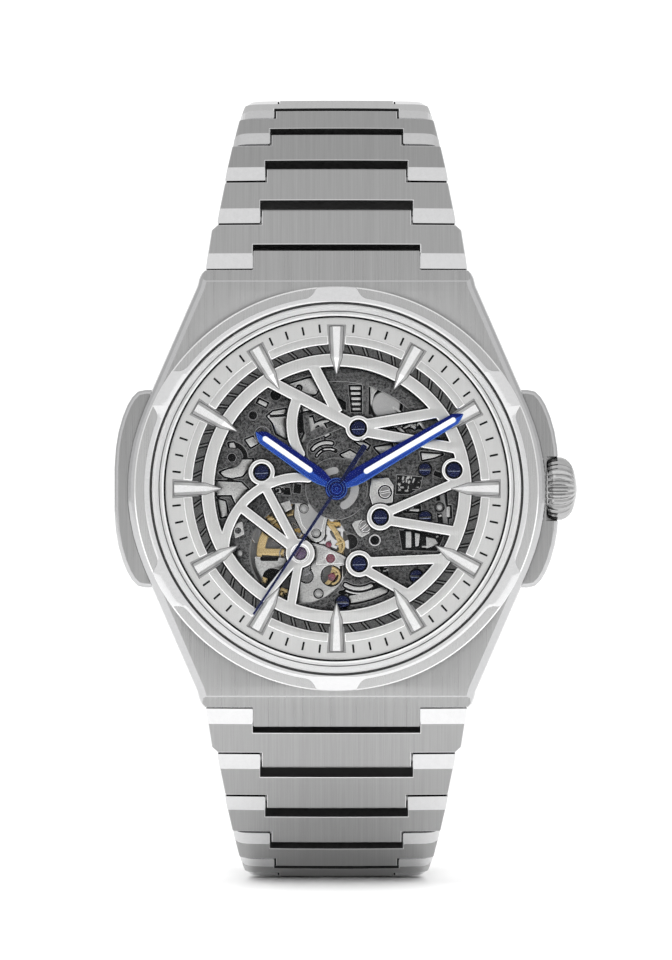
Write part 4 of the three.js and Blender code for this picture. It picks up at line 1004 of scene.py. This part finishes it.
def deep_layer():
    """What shows deep in the openings: a dark floor with silver levers, springs and gear edges."""
    floor = lathe([(0, 5.63), (12.6, 5.63), (12.6, 5.7), (0, 5.7)], 96)
    for r, sides, place in ((4.72, 64, BALANCE), (0.95, 32, (0, 0))):
        floor = boolean(floor, lathe([(0, 5.0), (r, 5.0), (r, 6.0), (0, 6.0)], sides, *place))
    piece("lower_plate", floor, "plate_low")
    plate_piece("levers_silver", "silver polish", "bridge_grey", s_union(*SILVER), around(12.4), 5.85, 6.4,
        0.05, 0.04, 0.004, 1)
    disc = lathe([(0, 5.75), (1.36, 5.75), (1.36, 6.3), (1.28, 6.38), (0, 6.42)], 64, 4.67, 7.9)
    piece("click_wheel_cap", disc, "satin")
    random.seed(11)
    bits = []
    for zone, count in (((5.8, -0.3, 8.0, 1.1), 24), ((4.6, 5.75, 8.7, 6.2), 12),
            ((7.9, -5.6, 10.0, -4.3), 6), ((4.0, -8.0, 4.8, -7.0), 5), ((-5.8, -0.5, -4.5, 0.1), 8),
            ((9.6, -3.3, 10.4, -0.3), 6)):
        for _ in range(count):
            x, y = random.uniform(zone[0], zone[2]), random.uniform(zone[1], zone[3])
            turn = random.choice((0, 90, 20, 70, 110))
            length = random.uniform(0.15, 0.5)
            bits.append(s_bar((x, y), pol(length, turn, x, y), random.uniform(0.06, 0.2)))
    plate_piece("keyless_small_parts", "silver dial_edge", "bridge_grey", s_union(*bits), around(11), 5.8,
        6.2, 0.02, 0.03, 0.003)
    block_field = s_poly([(3.25, 1.0), (4.9, 1.05), (5.4, 0.3), (5.3, -1.35), (3.4, -1.6), (3.1, -0.6)])
    plate_piece("setting_lever_bridge", "silver polish", "bridge_grey",
        s_cut(block_field, s_disc(4.57, -0.32, 0.66)), near(4.3, -0.3, 2), 6.92, 7.14, 0.06, 0.03, 0.003, 1)
    # a black plate a little larger than the bridge, under it: painted shade along its edge
    plate_piece("setting_lever_bridge_shade_outline", "ink", "plate_grey", s_grow(block_field, 0.1),
        near(4.3, -0.3, 2.2), 6.9, 6.95, 0.01, 0.04)
    arm = s_cut(s_poly([(1.45, -3.35), (1.75, -3.05), (2.7, -2.85), (3.4, -3.5), (3.1, -4.2), (2.4, -4.6),
        (1.95, -4.3)]), s_disc(2.7, -3.55, 0.62))
    foot = lathe([(0, 6.5), (0.22, 6.5), (0.22, 6.95), (0, 6.95)], 20, 2.3, -4.3)
    piece("minute_wheel_bridge",
        merged([flat_plate(arm, near(2.5, -3.7, 1.4), 6.93, 7.05, 0.04, 0.03, 0.003, 1), foot]),
        "silver polish")
    piece("steel_screws",
        merged([screw_mesh(4.57, -0.32, 7.2, 0.55, 12, 0.28), screw_mesh(2.7, -3.55, 7.12, 0.55, 40, 0.18)]),
        "grey dial_edge")
    piece("steel_screw_slot_highlights",
        merged([slot_highlight(4.57, -0.32, 7.2, 0.55, 12), slot_highlight(2.7, -3.55, 7.12, 0.55, 40)]),
        "dial_edge dial_edge")
    blues = [(8.35, 1.82, 0.56, 0), (8.36, -2.72, 0.58, 3), (7.55, -8.27, 0.6, 0), (0.58, -10.72, 0.62, 0)]
    piece("plate_screws_blue", merged([screw_mesh(x, y, 6.72, r, t) for x, y, r, t in blues]), "navy navy")
    piece("plate_screw_slot_highlights", merged([slot_highlight(x, y, 6.72, r, t) for x, y, r, t in blues]),
        "navy_line navy_line")
    # black rings round the blued screws' heads: painted shade round each head
    well_shade_rings = [ring_mesh(x, y, r + 0.14, r + 0.01, 6.5, 6.68) for x, y, r, t in blues]
    piece("plate_screw_shade_rings", merged(well_shade_rings), "ink")
    lever = s_union(s_bar((9.95, -0.3), (10.3, -3.4), 0.5), s_bar((9.2, -1.1), (9.25, -3.4), 0.35),
        s_disc(9.73, -1.75, 0.62), blend=0.15)
    plate_piece("clutch_lever", "grey polish", "bridge_grey", lever, near(9.8, -1.8, 2.2), 6.0, 6.35, 0.05,
        0.03)
    pins = [(9.73, -1.75, 0.33), (-3.08, -1.88, 0.36), (-1.93, -4.2, 0.34), (-1.7, -9.9, 0.34),
        (-9.14, -6.1, 0.32)]
    piece("steel_pins", merged([button_mesh(x, y, r * 0.85, 6.0, 6.85) for x, y, r in pins]), "satin")
    fine = [ring_mesh(x, y, r + 0.16, r + 0.04, 6.4, 6.72) for x, y, r in pins]
    piece("pin_collars", merged(fine), "plate_low")


def hub_plate():
    """Light sectors of the hour wheel, seen around the hands."""
    field = s_union(s_arc(0, 0, 1.72, 0.8, -65, 8), s_arc(0, 0, 1.72, 0.7, 95, 150),
        s_arc(0, 0, 1.75, 0.5, 20, 50))
    piece("hour_wheel_sectors", flat_plate(field, around(2.1), 7.15, 7.2, 0.02, 0.03, 0.003),
        "satin dial_edge", "hour_wheel")


def balance_side():
    """Silver bridge, jewels and dark frame in front of the balance."""
    frame_field = s_both(s_cut(s_arc(*BALANCE, 5.35, 1.15, 118, 262), s_disc(-9.28, -4.06, 0.42)),
        s_disc(0, 0, 12.4))
    plate_piece("balance_dark_frame", "plate grey", "plate_grey", frame_field, near(*BALANCE, 6.3), 6.2, 6.7,
        0.06, 0.045, 0.004, 1)
    shape = s_union(
        s_poly([(-3.9, -1.3), (-1.6, -1.5), (-0.75, -2.2), (-1.1, -3.9), (-2.0, -4.9), (-3.2, -4.2),
            (-4.0, -2.6)]),
        s_disc(-1.93, -4.2, 0.85), s_poly([(-2.3, -5.1), (-1.2, -5.4), (1.2, -6.6), (1.0, -7.2), (0.2, -7.3),
            (-2.4, -7.6)]),
        s_both(s_ring(*BALANCE, 4.9, 1.9), s_poly([(-3.4, -7.0), (0.2, -7.1), (0.8, -8.6), (-0.4, -10.4),
            (-3.6, -10.9)])),
        blend=0.2,
    )
    windows = [s_disc(-0.49, -8.24, 1.02), s_disc(-2.85, -8.27, 0.7), s_disc(-0.25, -5.35, 0.5),
        s_disc(-0.56, -6.58, 0.42)]
    box = near(-1.6, -6, 5.5)
    plate_piece("balance_side_bridge", "silver polish", "bridge_grey", s_cut(shape, *windows), box, 6.1, 6.55,
        0.05, 0.04, 0.003, 1)
    # a black plate a little larger than the bridge, under it: painted shade along its edges and round its
    # windows
    plate_piece("balance_side_bridge_shade_outline", "ink", "plate_grey",
        s_cut(s_grow(shape, 0.09), *[s_grow(w, -0.08) for w in windows]), box, 5.9, 6.15, 0.02, 0.05)
    lobe = s_cut(s_union(s_poly([(-3.8, -1.5), (-1.7, -1.6), (-1.0, -2.3), (-1.3, -3.6), (-1.5, -4.4),
        (-2.4, -4.5), (-3.3, -3.4)]), blend=0.2), s_disc(-3.08, -1.88, 0.44), s_disc(-1.93, -4.2, 0.42))
    plate_piece("balance_side_lobe", "satin dial_edge", "bridge_grey", lobe, box, 6.5, 6.72, 0.05, 0.04,
        0.003, 1)
    nose = s_cut(s_poly([(-2.2, -5.25), (-1.3, -5.55), (1.15, -6.62), (0.9, -7.05), (-1.9, -7.2)]),
        s_disc(-0.56, -6.58, 0.47))
    plate_piece("balance_side_nose", "silver dial_edge", "bridge_grey", nose, box, 6.5, 6.76, 0.05, 0.04,
        0.003, 1)
    wedge = s_both(s_both(s_ring(*BALANCE, 4.35, 1.2),
        s_poly([(-3.6, -6.6), (-8.3, -6.4), (-8.0, -9.4), (-6.0, -10.6)])), s_disc(0, 0, 12.4))
    openings = [s_bar((-6.1, -8.4), (-4.6, -8.85), 1.7, rounded=True), s_bar((-7.0, -6.62), (-5.7, -6.62),
        0.42, rounded=True)]
    plate_piece("balance_under_bridge", "silver polish", "bridge_grey", s_cut(wedge, *openings),
        near(*BALANCE, 5), 5.55, 5.8, 0.05, 0.04, 0.004, 1)
    plate_piece("balance_well_shade", "ink", "plate_grey",
        s_both(s_union(*[s_grow(o, 0.05) for o in openings]), wedge), near(*BALANCE, 5), 5.47, 5.53, 0.01,
        0.05)
    bits = [s_poly([(-7.0, -8.3), (-6.5, -8.5), (-6.55, -9.0), (-7.05, -8.9)]),
        s_poly([(-5.6, -9.7), (-5.0, -9.8), (-5.0, -10.2), (-5.6, -10.0)])]
    gilt("balance_gilt_corners", s_union(*bits), near(*BALANCE, 5), 5.75, 5.86)
    silver = [s_cut(s_poly([(-9.9, -3.4), (-8.9, -3.1), (-8.7, -4.3), (-9.6, -4.7)]),
        s_disc(-9.3, -3.95, 0.3)), s_poly([(-5.3, -3.6), (-4.5, -3.5), (-4.3, -4.3), (-5.0, -4.6)]),
        s_poly([(-5.6, -1.5), (-4.4, -1.1), (-4.2, -1.9), (-5.2, -2.4)])]
    plate_piece("balance_corner_levers", "silver polish", "bridge_grey", s_union(*silver), near(-7, -3, 4),
        6.6, 6.78, 0.04, 0.04, 0.004, 1)
    stones = [(-0.56, -6.58, 0.44, 6.5), (-0.75, -5.3, 0.3, 6.2), (-0.45, -8.35, 0.38, 6.1)]
    piece("jewels", merged([button_mesh(x, y, r, 5.9, h) for x, y, r, h in stones]), "ruby")


def gilt(name, field, box, low, high, body="case"):
    mesh = flat_plate(field, box, low, high, 0.03, 0.03, 0.002, 1)
    return piece(name, mesh, "gold gold", body, smooth=30)


def balance_wheel():
    x, y = BALANCE
    rim = s_ring(x, y, 4.15, 3.65)
    arms = [s_bar((x, y), pol(3.8, 178 + 180 * i, x, y), 0.9, 0.62) for i in range(2)]
    lugs = [s_arc(x, y, 3.55, 0.4, 150 + 180 * i, 178 + 180 * i) for i in range(2)]
    shape = s_union(rim, *arms, *lugs, s_disc(x, y, 0.6), blend=0.15)
    obj = gilt("balance_wheel_gilt", shape, near(x, y, 4.4), 4.88, 5.12, "balance")
    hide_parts("balance_wheel")
    staff = lathe([(0, 3.78), (0.1, 3.78), (0.14, 4.7), (0.32, 4.7), (0.32, 4.86), (0.14, 5.14), (0.1, 5.46),
        (0, 5.46)], 20, x, y)
    piece("balance_staff", staff, "polish", "balance")


def train_looks():
    """Small gilt details that show in the bridge's windows."""
    for name, x, y, r in (("window_gear_upper", -0.25, -5.35, 1.2), ("window_gear_lower", -0.49, -8.24,
            0.98)):
        ring = s_union(s_arc(x, y, r * 0.8, 0.24, -80, 80), s_bar(pol(0.2, 20, x, y), pol(r * 0.8, 20, x, y),
            0.2))
        gilt(name, ring, near(x, y, r + 0.3), 5.75, 5.95)
    bits = s_union(s_bar((-6.5, -3.0), (-5.7, -2.6), 0.42), s_arc(-0.4, -3.0, 0.35, 0.12, 0, 300),
        s_bar((-7.1, -9.3), (-6.6, -9.7), 0.35))
    gilt("gilt_studs", bits, near(-3.5, -6, 5), 5.75, 6.0)


# ------------------------------------------------------------------ bracelet
PITCH = 4.5
FIRST_PIN = (-4.9, 21.4)
TILT = [23, 32, 44, 59, 75, 89, 102, 115, 128, 141, 153, 165, 180]
WIDTH = [24.7, 22.6, 21.2, 19.9, 18.7, 17.8, 17.2, 16.8, 16.5, 16.3, 16.1, 16.0, 16.0, 16.0]
TOP, BOTTOM = 1.5, -1.3  # a link's outer and inner face
ARM, BAR0, BAR1 = -1.1, 1.2, 3.3  # along a link: its arms' start, and its crossbar's start and end
LINKS = 12


def link_frames(side):
    """Each pin's frame down one side of the loop: along the link, outward and across."""
    frames, (y, z) = [], FIRST_PIN
    for tilt in TILT:
        c, s = math.cos(rad(tilt)), math.sin(rad(tilt))
        along, out = Vector((0, s, side * c)), Vector((0, -c, side * s))
        turn = Matrix((along, out, along.cross(out))).transposed().to_4x4()
        frames.append(MM @ Matrix.Translation((0, y, side * z)) @ turn)
        y += PITCH * s
        z += PITCH * c
    return frames


# plan drawings are in (u, w); this turns plate height into the outward axis
PLAN_TO_LINK = Matrix(((1, 0, 0, 0), (0, 0, 1, 0), (0, -1, 0, 0), (0, 0, 0, 1)))


def notch_half(i):
    """Half the width of the notch between a link's arms."""
    return 0.32 * WIDTH[min(i, len(WIDTH) - 1)]


def domed(mesh, half, shoulder):
    """Crowns the outer face slightly across the width, with rounder shoulders where asked."""
    rise, cuts = 0.1, 6
    places = [half * 0.98 * k / (cuts + 0.5) for k in range(-cuts, cuts + 1)]
    if shoulder:
        places += [s * half * k for s in (-1, 1) for k in (0.8, 0.86, 0.91, 0.94, 0.965, 0.985)]
    with editing(mesh) as bm:
        for place in places:
            split_at(bm, (0, place, 0), (0, 1, 0))
        for v in bm.verts:
            if v.co.z > 0:
                v.co.z -= rise * (v.co.y / half) ** 2 + shoulder * (v.co.z / TOP) * abs(v.co.y / half) ** 26


def link_mesh(i):
    a, b = WIDTH[i] / 2, (23.6 / 2 if i == 0 else WIDTH[i + 1] / 2)
    n, t = notch_half(i), notch_half(i + 1) - 0.15
    end = PITCH + 0.95
    soft = 0.55 if i == 0 else 0.12
    half = [(ARM, n), (ARM, a), (BAR1 - soft, b + 0.02), (BAR1, b - soft), (BAR1, t), (end, t)]
    plan = half + [(u, -w) for u, w in reversed(half)] + [(BAR0, -n), (BAR0, n)]
    mesh = flat_plate(s_poly(plan), (-1.6, -a - 0.4, end + 0.4, a + 0.4), BOTTOM, TOP, 0.09, 0.06, 0.004, 1)
    # polished head facet, rounded tongue end, and the undersides relieved for bending; the relieved underside
    # of the tongue is filled with the near-black joint material, painted shade
    mesh = sliced(mesh, (0.3, 0, TOP), (-0.42, 0, 1.4), 1)
    for angle in (75, 55, 35, 15):
        c, s = math.cos(rad(angle)), math.sin(rad(angle))
        mesh = sliced(mesh, (PITCH + 0.1 + 0.35 * c, 0, 1.15 + 0.35 * s), (c, 0, s), 0)
    mesh = sliced(mesh, (PITCH + 0.45, 0, -0.5), (0.8, 0, -0.55), 2)
    mesh = sliced(mesh, (-0.2, 0, BOTTOM), (-0.95, 0, -0.9), 1)
    # the walls inside the notch and the tongue's end face take the near-black joint material: painted shade
    # in the joints
    for face in mesh.polygons:
        inner = abs(face.center.y) < n + 0.02 and ARM + 0.2 < face.center.x < BAR0 + 0.05
        if face.normal.x < -0.9 and inner or face.normal.x > 0.9 and face.center.x > PITCH:
            face.material_index = 2
    domed(mesh, a, 0.85 if i > 2 else 0.0)
    pin = lathe([(0, -a + 0.55), (0.4, -a + 0.55), (0.4, a - 0.55), (0, a - 0.55)], 20)
    pin.transform(Matrix.Rotation(math.pi / 2, 4, "X"))
    both = merged([mesh, pin])
    both.transform(PLAN_TO_LINK)
    return both


def bracelet():
    upper, lower = link_frames(1), link_frames(-1)
    for i in range(LINKS):
        mesh = link_mesh(i)
        for side, frames in ((12, upper), (6, lower)):
            name = f"link_{side}_{i + 1:02d}"
            obj = piece(f"{name}_body", mesh.copy(), "link polish joint", name, frames[i],
                7)
            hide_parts(name)
    return upper[LINKS]


# ------------------------------------------------------------------ crown, back and clasp
FLUTES = 28


def crown():
    # height along the axis, radius, and the share of a flute's depth cut there
    stations = [(0.0, 2.45, 0), (0.02, 2.62, 0.3), (0.12, 2.76, 1), (0.45, 2.9, 1), (0.9, 2.98, 1),
        (1.35, 2.95, 1), (1.75, 2.8, 1), (2.05, 2.55, 0.9), (2.3, 2.22, 0.6), (2.48, 1.8, 0.3), (2.6, 1.4, 0),
        (2.74, 0.8, 0), (2.8, 0.25, 0)]
    steps = ((0, 0.0), (0.26, 0.0), (0.42, 0.12), (0.55, 0.2), (0.72, 0.2), (0.86, 0.12))
    verts = [(*pol(r - dip * deep, 360 * (i + k) / FLUTES), h) for h, r, deep in stations
        for i in range(FLUTES) for k, dip in steps]
    n = FLUTES * len(steps)
    faces = [(row * n + j, row * n + (j + 1) % n, (row + 1) * n + (j + 1) % n, (row + 1) * n + j)
        for row in range(len(stations) - 1) for j in range(n)]
    faces += [tuple(reversed(range(n))), tuple(range((len(stations) - 1) * n, len(stations) * n))]
    body = mesh_from(verts, faces)
    groove = lathe([(2.05, -0.05), (2.5, -0.05), (2.5, 0.1), (2.05, 0.1)], 48)
    along = MM @ Matrix.Translation((19.95, -STEM, 0)) @ Matrix.Rotation(math.pi / 2, 4, "Y")
    obj = piece("crown_fluted", merged([body, groove]), "crown crown", "crown", along, 30)
    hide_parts("crown")


def back():
    ring = lathe([(14.4, 0.1), (14.5, 0.03), (17.0, 0.03), (17.9, 0.35), (18.2, 0.75), (18.2, 1.45),
        (14.4, 1.45)], 160)
    obj = piece("case_back_ring", ring, "satin")
    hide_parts("case_back")
    glass = lathe([(0, 0), (14.1, 0), (14.25, 0.12), (14.25, 1.1), (0, 1.1)], 160)
    obj = piece("display_crystal_disc", glass, "glass", smooth=20)
    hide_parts("display_crystal")
    notches = [ring_mesh(*pol(16.3, 30 + 60 * i), 0.5, 0.3, 0.01, 0.06, 20, 0.01) for i in range(6)]
    piece("case_back_key_marks", merged(notches), "ink")


def rotor():
    web = s_union(s_both(s_ring(0, 0, 12.2, 9.3), s_poly([(-14, 0.4), (14, 0.4), (14, -14), (-14, -14)])),
        s_ring(0, 0, 2.3, 0.8), s_bar((-1.3, -0.8), (-9.9, -1.6), 1.1), s_bar((1.3, -0.8), (9.9, -1.6), 1.1),
        s_bar((-0.8, -1.4), (-5.4, -8.4), 1.0), s_bar((0.8, -1.4), (5.4, -8.4), 1.0), blend=0.6)
    mesh = flat_plate(web, around(12.4), 1.8, 2.75, 0.12, 0.06, 0.004, 1)
    obj = piece("rotor_weight", mesh, "satin polish", "rotor")
    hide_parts("rotor")
    hub = merged([ring_mesh(0, 0, 2.0, 1.55, 1.72, 1.84), ring_mesh(0, 0, 1.2, 0.84, 1.7, 1.86)])
    piece("rotor_bearing_rings", hub, "polish", "rotor")
    rim = s_both(s_ring(0, 0, 11.9, 11.6), s_poly([(-14, 0.2), (14, 0.2), (14, -14), (-14, -14)]))
    piece("rotor_rim_line", flat_plate(rim, around(12.4), 1.76, 1.84, 0.02, 0.06), "gold gold",
        "rotor")


def movement_back():
    """Bridges seen from behind: striped plates with split lines, jewels in gilt settings and blued screws."""
    joints = [s_bar((-13, 4.4), (-1.0, 1.2), 0.3), s_bar((-1.0, 1.2), (3.2, -2.4), 0.3),
        s_bar((3.2, -2.4), (12, -5.6), 0.3), s_bar((-1.0, 1.2), (0.6, 13), 0.3)]
    spots = [(3.52, 5.22, 0.75), (-3.9, -0.69, 0.5), (0.5, -3.87, 0.5), (-8.2, 1.0, 0.5)]
    heads = [(7.9, 7.6), (-6.6, 8.4), (10.2, -1.4), (5.2, -8.9), (1.0, -9.9), (-10.4, -1.4)]
    window = s_poly([(-13.5, -3.0), (-1.0, -3.0), (-1.0, -13.5), (-13.5, -13.5)])
    tools = joints + [window, s_disc(0, 0, 0.95)] + [s_disc(x, y, r + 0.22) for x, y,
        r in spots] + [s_disc(x, y, 0.72) for x, y in heads]
    field = s_cut(s_disc(0, 0, 12.5), *tools)
    plates = flat_plate(field, around(12.6), -3.06, -2.93, 0.05, 0.06, 0.004, 1)
    flip = Matrix.Diagonal((1, 1, -1, 1))

    def reversed_piece(name, mesh, materials):
        mesh.transform(flip)
        mesh.flip_normals()
        piece(name, mesh, materials)

    reversed_piece("back_bridges", plates, "link_back polish")
    reversed_piece("back_jewels", merged([button_mesh(x, y, r * 0.6, -3.06, -2.95) for x, y, r in spots]),
        "ruby")
    reversed_piece("back_jewel_settings", merged([ring_mesh(x, y, r, r * 0.62, -3.06, -2.94) for x, y,
        r in spots]), "gold")
    reversed_piece("back_screws", merged([screw_mesh(x, y, -2.92, 0.62, 25 + 31 * k, 0.2) for k,
        (x, y) in enumerate(heads)]), "navy blue_edge")


def clasp(cover_frame):
    span = 2 * 18.695  # between the last pins of the bracelet's two halves
    end = span - 3.2
    count = 28
    top = [(end * k / count, TOP + 1.1 * math.sin(math.pi * k / count)) for k in range(1, count)]
    under = [(u, h - 0.95) for u, h in top if u > 3.4]
    profile = [(0.35, TOP), (ARM, 1.05), (ARM, -0.35), (-0.2, BOTTOM), (2.8, BOTTOM), (3.2, 0.9)]
    profile += under + [(end, 0.6), (end, 1.3)] + list(reversed(top))
    half = 8.6
    shell = prism(profile, -half, half)
    skirt = prism([(2.6, 1.5), (2.6, -0.9), (end - 0.4, -0.9), (end, -0.4), (end, 1.2), (span / 2, 2.2)],
        -half, half)
    skirt = boolean(skirt, block(2, -3, -7.6, 60, 4, 7.6))
    whole = boolean(shell, skirt, "UNION")
    whole = boolean(whole, block(-3, -4, -5.12, BAR0, 4, 5.12))
    with editing(whole) as bm:
        face_outward(bm)
    obj = piece("clasp_cover_shell", whole, "link", "clasp_cover", cover_frame, 30)
    bevelled(obj, 0.12, 40)
    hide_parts("clasp_cover")


# ------------------------------------------------------------------ assembly
case = case_body()
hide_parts("case_middle")
for side in (1, -1):
    lug_tongue(side)
    case_wing(side)
bezel_pieces()
crystal_pieces()
dial_pieces()
dial_screws()
hands()
holder_ring()
main_plate()
deep_layer()
hub_plate()
balance_side()
balance_wheel()
train_looks()
cover_frame = bracelet()
crown()
back()
rotor()
movement_back()
clasp(cover_frame)

KEEP = {
    "movement_holder": "grey_cad", "train_bridge": "grey_cad", "balance_cock": "grey_cad",
    "barrel": "gold_cad",
    "center_wheel": "gold_cad", "third_wheel": "gold_cad", "fourth_wheel": "gold_cad",
    "minute_wheel": "plate_cad",
    "escape_wheel": "polish_cad", "pallet_fork": "polish_cad", "hour_wheel": "plate_cad",
    "hairspring": "spring_cad",
    "winding_stem": "polish_cad", "crown_tube": "polish_cad", "clasp_outer_blade": "polish_cad",
    "clasp_inner_blade": "polish_cad", "clasp_button_right": "polish_cad", "clasp_button_left": "polish_cad",
    "clasp_spring_bar": "polish_cad", "case_back_gasket": "rubber_cad",
}
for node, key in KEEP.items():
    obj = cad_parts[node]
    for slot in obj.material_slots:
        slot.material = MAT[key]
    if not obj.material_slots:
        obj.data.materials.append(MAT[key])
for node in ("clasp_outer_blade", "clasp_inner_blade", "clasp_button_right", "clasp_button_left"):
    bevelled(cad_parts[node], 0.0001)  # in metres

# ------------------------------------------------------------------ studio, in metres
world = bpy.data.worlds.new("studio")
bpy.context.scene.world = world
world.use_nodes = True
tree = world.node_tree
background = tree.nodes["Background"]
where = tree.nodes.new("ShaderNodeTexCoord")
split = tree.nodes.new("ShaderNodeSeparateXYZ")
tree.links.new(where.outputs["Generated"], split.inputs[0])
shade = tree.nodes.new("ShaderNodeValToRGB")
depth = tree.nodes.new("ShaderNodeMapRange")
depth.inputs["From Min"].default_value = -1
depth.inputs["From Max"].default_value = 1
tree.links.new(split.outputs["Y"], depth.inputs["Value"])
tree.links.new(depth.outputs["Result"], shade.inputs["Fac"])
# a soft box all round: place from the front (0) to behind the watch (1), and brightness there
stops = [(0.0, 1.0), (0.06, 1.0), (0.15, 0.92), (0.28, 1.0), (0.4, 0.85), (0.5, 0.8), (0.62, 0.76),
    (0.78, 0.76), (0.93, 1.05), (1.0, 1.2)]
elements = shade.color_ramp.elements
while len(elements) < len(stops):
    elements.new(0.5)
for element, (position, value) in zip(elements, stops):
    element.position = position
    element.color = (value, value, value, 1)
tree.links.new(shade.outputs["Color"], background.inputs["Color"])
background.inputs["Strength"].default_value = 1.0

floor_z = cad_box[0][2] - 0.00005
floor_mesh = mesh_from([(-1, -0.6, floor_z), (1, -0.6, floor_z), (1, 0.6, floor_z), (-1, 0.6, floor_z)],
    [(0, 1, 2, 3)])
floor = linked("studio_floor", floor_mesh)
paper = Nodes("paper_white")
paper.set(Roughness=0.9)
paper.link(paper.ramp(paper.noise((4, 4, 4)), (0.97, 0.97, 0.97), (1.0, 1.0, 1.0)),
    paper.shader.inputs["Base Color"])
floor_mesh.materials.append(paper.material)


def lamp(name, kind, place, target, power, **values):
    """A lamp in watts at a place, aimed at a target."""
    data = bpy.data.lights.new(name, kind)
    data.energy = power
    for key, value in values.items():
        setattr(data, key, value)
    obj = linked(name, data)
    obj.location = place
    obj.rotation_euler = (Vector(target) - Vector(place)).to_track_quat("-Z", "Y").to_euler()
    return obj


lamp("key", "AREA", (-0.35, -0.45, 0.5), (0, 0, 0), 0.25, shape="RECTANGLE", size=0.35, size_y=0.35)
top = lamp("top", "AREA", (0, -0.02, 0.7), (0, 0, -0.03), 5.0, shape="RECTANGLE", size=1.2, size_y=1.2)
# lightens the floor's shadow under the watch
low = lamp("low", "SPOT", (0, -0.5, 0.08), (0, 0.005, floor_z), 6.5, shadow_soft_size=0.06, spot_size=rad(13),
    spot_blend=0.8)
top.visible_glossy = low.visible_glossy = False

camera = bpy.data.cameras.new("camera")
camera.sensor_width = 36
camera.lens = 258.9
camera.clip_start, camera.clip_end = 0.05, 20
eye = linked("camera", camera)
eye.location = (-0.00005, -0.6584, 0.00082)
eye.rotation_euler = (math.pi / 2, 0, 0)
bpy.context.scene.camera = eye
bpy.context.scene.view_settings.view_transform = "Standard"
